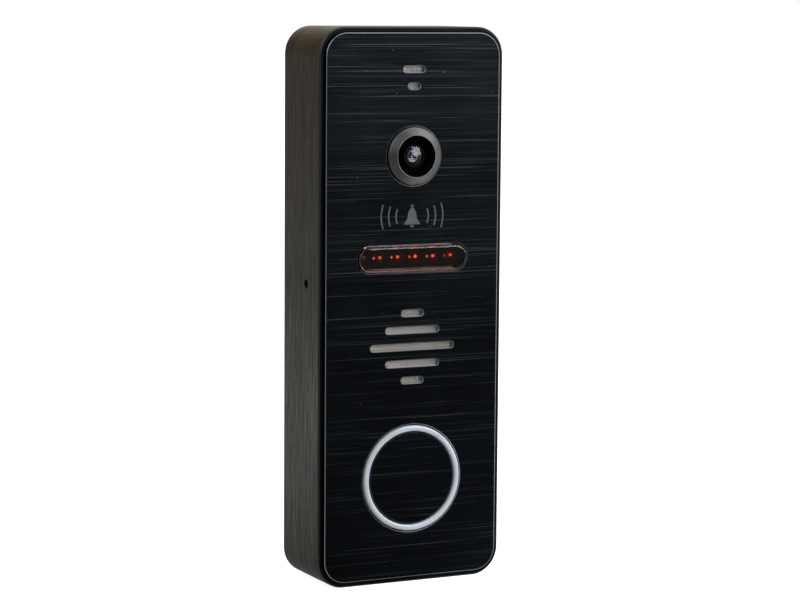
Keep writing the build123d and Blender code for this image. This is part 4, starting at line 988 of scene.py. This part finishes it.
def printed_shapes(centre_x, centre_z, high):
    """Every closed outline of the pictogram."""
    whole = 2 * math.pi
    clapper = centre_z - high * 0.43
    loop = centre_z + high * 0.46
    shapes = [bell_outline(centre_x, centre_z, high)]
    shapes.append(ring_band(centre_x, clapper, 0.0001 * MM, high * 0.10, math.pi, whole, 16))
    shapes.append(ring_band(centre_x, loop, high * 0.03, high * 0.08, 0, whole * 0.999, 20))
    for number in range(3):
        radius = high * (0.80 + 0.38 * number)
        thick = high * 0.065
        reach = 0.42 - 0.03 * number
        for facing in (0.0, math.pi):
            shapes.append(ring_band(
                centre_x, centre_z, radius, radius + thick, facing - reach, facing + reach
            ))
    return shapes


def printed_bell():
    """Thin raised ink on the plate: a bell with its sound."""
    fine = bpy.context.scene.door_sizes
    centre_z = (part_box("camera_bezel")[0].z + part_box("lamp_window")[1].z) / 2
    ink = bmesh.new()
    for outline in printed_shapes(-0.3 * MM, centre_z - 0.3 * MM, fine.bell_height):
        corners = [ink.verts.new((x, PLATE_FACE, z)) for x, z in outline]
        face = ink.faces.new(corners)
        lifted = bmesh.ops.extrude_face_region(ink, geom=[face])["geom"]
        moved = [item for item in lifted if isinstance(item, bmesh.types.BMVert)]
        bmesh.ops.translate(ink, verts=moved, vec=(0, -fine.ink_thickness, 0))
    bmesh.ops.triangulate(ink, faces=ink.faces)
    bmesh.ops.recalc_face_normals(ink, faces=ink.faces)
    mesh = bpy.data.meshes.new("printed_bell")
    ink.to_mesh(mesh)
    ink.free()
    return new_piece("printed_bell", mesh, "panel", "ink", "front_plate")


# -------- stage
def soft_light(name, place, aim, size, watts):
    """A square soft light aimed at a point."""
    lamp = bpy.data.lights.new(name, "AREA")
    lamp.shape = "RECTANGLE"
    lamp.size, lamp.size_y = size
    lamp.energy = watts * bpy.context.scene.door_stage.light
    holder = bpy.data.objects.new(name, lamp)
    holder.location = place
    holder.rotation_euler = (Vector(aim) - Vector(place)).to_track_quat("-Z", "Y").to_euler()
    bpy.context.scene.collection.objects.link(holder)
    return holder


def main_camera():
    """The main camera, on its orbit round the unit."""
    facts = bpy.context.scene.door_stage
    level, around = facts.elevation, facts.azimuth
    back = Vector((
        math.sin(around) * math.cos(level), -math.cos(around) * math.cos(level), math.sin(level)
    ))
    right = (-back).cross(Vector((0, 0, 1))).normalized()
    up = right.cross(-back)
    lean = facts.roll
    leaned_right = right * math.cos(lean) + up * math.sin(lean)
    leaned_up = up * math.cos(lean) - right * math.sin(lean)
    aim = Vector((1.98, -9.73, 0.59)) * MM
    camera = bpy.data.objects.new("main_camera", bpy.data.cameras.new("main_camera"))
    camera.data.lens = facts.lens
    camera.data.sensor_width = 36.0
    camera.data.clip_start = 0.01
    turned_axes = Matrix((leaned_right, leaned_up, back)).transposed().to_4x4()
    camera.matrix_world = Matrix.Translation(aim + back * facts.distance) @ turned_axes
    bpy.context.scene.collection.objects.link(camera)
    bpy.context.scene.camera = camera


def toward(tree, way, direction, low, high, start, end):
    """How far a direction leans towards another, from low to high, as start to end."""
    lean = put(
        tree, "ShaderNodeVectorMath", {0: way, 1: direction}, operation="DOT_PRODUCT"
    ).outputs["Value"]
    return span(tree, lean, low, high, start, end)


def studio_level(tree, way):
    """The studio's brightness each way: bright at the right and behind, dark in front."""
    soft = toward(tree, way, (0.90, 0.42, 0.12), -0.6, 1.0, 0.08, 1.15)
    flag = toward(tree, way, (0.44, -0.89, -0.11), 0.72, 0.96, 1.0, 0.2)
    return times(tree, soft, flag)


def pale_floor():
    """The floor under the unit: pale to the eye, and lit like the surround in reflections, with a
    painted pool of light near the unit.
    """
    half = 6.0
    gap = 0.02 * MM
    z = CAD_BOX[0][2] - gap
    sheet = bpy.data.meshes.new("floor")
    sheet.from_pydata(
        [(-half, -half, z), (half, -half, z), (half, half, z), (-half, half, z)], [], [(0, 1, 2, 3)]
    )
    floor = bpy.data.objects.new("floor", sheet)
    made, tree, target = surface(
        "pale_floor", Roughness=0.9, Specular_IOR_Level=0.0, Emission_Strength=1.0
    )
    place = object_place(tree)
    seen = put(tree, "ShaderNodeLightPath").outputs["Is Camera Ray"]
    tone = span(tree, noise(tree, place, 3.0), 0.3, 0.7, 0.92, 0.94)
    # a painted pool of light behind and left of the unit, in the floor's glow that reflections see
    painted_light_pool = put(
        tree, "ShaderNodeVectorMath", {0: place, 1: (-0.15, 0.21, z)}, operation="DISTANCE"
    ).outputs["Value"]
    way = result(tree, "ShaderNodeVectorMath", {0: place}, operation="NORMALIZE")
    level = work(tree, "MAXIMUM", studio_level(tree, way), span(tree, painted_light_pool, 0.36, 0.06, 0.0, 1.0))
    paint = times(tree, tone, span(tree, seen, 0.0, 1.0, 0.15, 1.0, smooth=False))
    white = (1.0, 1.0, 1.0)
    glow = work(tree, "MAXIMUM", times(tree, seen, 0.9), level)
    link(tree, target, Base_Color=tinted(tree, white, paint), Emission_Color=tinted(tree, white, glow))
    sheet.materials.append(made)
    bpy.context.scene.collection.objects.link(floor)


def pale_world():
    """A pale surround to the eye, with the studio's brightness in reflections."""
    world = bpy.data.worlds.new("pale_surround")
    world.use_nodes = True
    tree = world.node_tree
    backdrop = tree.nodes["Background"]
    way = put(tree, "ShaderNodeTexCoord").outputs["Generated"]
    level = studio_level(tree, way)
    warm = toward(tree, way, (-0.60, 0.58, 0.55), 0.35, 0.95, 0.0, 1.0)
    hue = blend(tree, warm, (1.0, 1.0, 1.0, 1.0), (0.80, 0.60, 0.36, 1.0))
    grey = result(tree, "ShaderNodeCombineColor", {0: level, 1: level, 2: level})
    lit = blend(tree, 1.0, hue, grey, "MULTIPLY")
    seen = put(tree, "ShaderNodeLightPath").outputs["Is Camera Ray"]
    tree.links.new(blend(tree, seen, lit, (1.0, 1.0, 1.0, 1.0)), backdrop.inputs["Color"])
    backdrop.inputs["Strength"].default_value = bpy.context.scene.door_stage.surround
    bpy.context.scene.world = world


# -------- operators
class DOOR_OT_housing(bpy.types.Operator):
    """Finish the housing, the front plate and the print on it"""

    bl_idname = "door.housing"
    bl_label = "Housing and plate"
    bl_options = {"REGISTER", "UNDO"}

    def execute(self, context):
        dress("housing", "housing")
        dress("plate", "front_plate")
        dress("tape", "plate_adhesive")
        printed_bell()
        return {"FINISHED"}


class DOOR_OT_meshes(bpy.types.Operator):
    """Weave the two sound meshes"""

    bl_idname = "door.meshes"
    bl_label = "Sound meshes"
    bl_options = {"REGISTER", "UNDO"}

    def execute(self, context):
        tree = weave_tree()
        low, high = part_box("speaker_mesh")
        woven_piece(tree, "speaker_weave", "speaker_mesh", (high.x - low.x) / 2)
        woven_piece(tree, "mic_weave", "mic_mesh", 0.9 * MM)
        return {"FINISHED"}


class DOOR_OT_camera(bpy.types.Operator):
    """Finish the camera and its lens"""

    bl_idname = "door.camera_parts"
    bl_label = "Camera"
    bl_options = {"REGISTER", "UNDO"}

    def execute(self, context):
        dress("bezel", "camera_bezel")
        dress("zinc", "bezel_nut")
        dress("hood", "camera_hood")
        dress("barrel", "lens_barrel")
        dress("black", "lens_holder")
        dress("lens", "lens_front_glass")
        dress("inner_lens", "lens_inner_glass")
        second_lens()
        dress("filter", "filter_glass")
        dress("rubber", "lens_seal")
        dress("chip", "image_sensor")
        return {"FINISHED"}


class DOOR_OT_lamps(bpy.types.Operator):
    """Make the night lamps and finish their window"""

    bl_idname = "door.lamps"
    bl_label = "Night lamps"
    bl_options = {"REGISTER", "UNDO"}

    def execute(self, context):
        fine = bpy.context.scene.door_sizes
        dress("window", "lamp_window")
        dress("rubber", "window_gasket")
        dress("spacer", "lamp_spacer")
        dress("tin", "lamp_leads")
        for number, node in enumerate(LAMPS, 1):
            lamp_shell(f"night_lamp_{number}", node, "lamp", "red_lamp")
        lamp_shell("light_sensor_body", "light_sensor", "clear_lamp", "clear_lamp")
        first, second = middle(LAMPS[0]), middle(LAMPS[1])
        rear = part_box(LAMPS[0])[1].y - LAMP_FLANGE
        tree = lamp_row_tree()
        for name, rear_radius, front_radius, long, across, start, material in LAMP_METAL:
            mesh = grow(name, tree, {
                "Lamps": len(LAMPS),
                "Pitch": second.x - first.x,
                "Rear Radius": rear_radius * fine.lamp_cup,
                "Front Radius": front_radius * fine.lamp_cup,
                "Length": long,
                "Across": across,
                "Start": start,
                "Material": finish(material),
            })
            mesh.transform(Matrix.Translation((first.x, rear, first.z)))
            new_piece(name, mesh, "panel", material, "red_lamp")
        return {"FINISHED"}


class DOOR_OT_sound(bpy.types.Operator):
    """Finish the speaker and the microphone"""

    bl_idname = "door.sound"
    bl_label = "Speaker and microphone"
    bl_options = {"REGISTER", "UNDO"}

    def execute(self, context):
        dress("rubber", "speaker_gasket", "mic_boot")
        dress("zinc_turned", "speaker_frame", "speaker_yoke", "speaker_pole", "speaker_magnet")
        dress("zinc", "speaker_retainer", "microphone")
        dress("film", "speaker_cone")
        dress("coil", "voice_coil")
        dress("gold", "speaker_contacts")
        return {"FINISHED"}


class DOOR_OT_button(bpy.types.Operator):
    """Finish the call button and its light ring"""

    bl_idname = "door.button"
    bl_label = "Call button"
    bl_options = {"REGISTER", "UNDO"}

    def execute(self, context):
        dress("button", "button_cap")
        dress("ring", "light_ring")
        dress("rubber", "button_seal")
        dress("black", "button_plunger", "button_holder", "tact_switch_body", "tact_switch_plunger")
        button_coil()
        dress("led_package", "ring_leds")
        return {"FINISHED"}


class DOOR_OT_boards(bpy.types.Operator):
    """Finish the boards and the wire header"""

    bl_idname = "door.boards"
    bl_label = "Boards"
    bl_options = {"REGISTER", "UNDO"}

    def execute(self, context):
        dress("board", "main_board", "camera_board", "lamp_board")
        dress("chip", "board_chips")
        dress("black", "board_links")
        dress("nylon", "wire_header")
        dress("tin", "header_pins")
        dress("rubber", "header_seal")
        return {"FINISHED"}


class DOOR_OT_back(bpy.types.Operator):
    """Finish the back cover, the bracket and every screw"""

    bl_idname = "door.back"
    bl_label = "Back and bracket"
    bl_options = {"REGISTER", "UNDO"}

    def execute(self, context):
        dress("cover", "back_cover")
        dress("rubber", "back_seal")
        dress("zinc", "wall_bracket")
        dress("black_screw", "set_screws")
        dress("screw", "board_screws", "retainer_screws", "cover_screws")
        return {"FINISHED"}


class DOOR_OT_stage(bpy.types.Operator):
    """Set the floor, the lights and the camera"""

    bl_idname = "door.stage"
    bl_label = "Stage"
    bl_options = {"REGISTER", "UNDO"}

    def execute(self, context):
        pale_world()
        pale_floor()
        aim = (0.0, -0.01, 0.0)
        soft_light("key_light", (0.36, -0.42, 0.24), aim, (0.40, 0.40), 2.7)
        soft_light("fill_light", (-0.6, -0.25, 0.5), aim, (0.4, 0.6), 1.0)
        main_camera()
        bpy.context.scene.view_settings.view_transform = "Standard"
        return {"FINISHED"}


OPERATORS = (
    DOOR_OT_housing,
    DOOR_OT_meshes,
    DOOR_OT_camera,
    DOOR_OT_lamps,
    DOOR_OT_sound,
    DOOR_OT_button,
    DOOR_OT_boards,
    DOOR_OT_back,
    DOOR_OT_stage,
)
SETTINGS = {
    "door_finishes": DOOR_PG_finishes,
    "door_sizes": DOOR_PG_sizes,
    "door_stage": DOOR_PG_stage,
}


class DOOR_PT_panel(bpy.types.Panel):
    """Builder buttons and their settings"""

    bl_label = "Door Station"
    bl_idname = "DOOR_PT_panel"
    bl_space_type = "VIEW_3D"
    bl_region_type = "UI"
    bl_category = "Door Station"

    def draw(self, context):
        for operator in OPERATORS:
            self.layout.operator(operator.bl_idname)
        for name, group in SETTINGS.items():
            box = self.layout.box()
            for setting in group.__annotations__:
                box.prop(getattr(context.scene, name), setting)


def register():
    """Registers every class, and hangs the settings on the scene."""
    for name, group in SETTINGS.items():
        bpy.utils.register_class(group)
        setattr(bpy.types.Scene, name, PointerProperty(type=group))
    for made in (*OPERATORS, DOOR_PT_panel):
        bpy.utils.register_class(made)


def unregister():
    """Takes everything off again."""
    for made in (DOOR_PT_panel, *reversed(OPERATORS)):
        bpy.utils.unregister_class(made)
    for name, group in SETTINGS.items():
        delattr(bpy.types.Scene, name)
        bpy.utils.unregister_class(group)


def main():
    """Registers the add-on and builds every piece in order."""
    register()
    for operator in OPERATORS:
        group, name = operator.bl_idname.split(".")
        getattr(getattr(bpy.ops, group), name)()


if __name__ == "__main__":
    main()
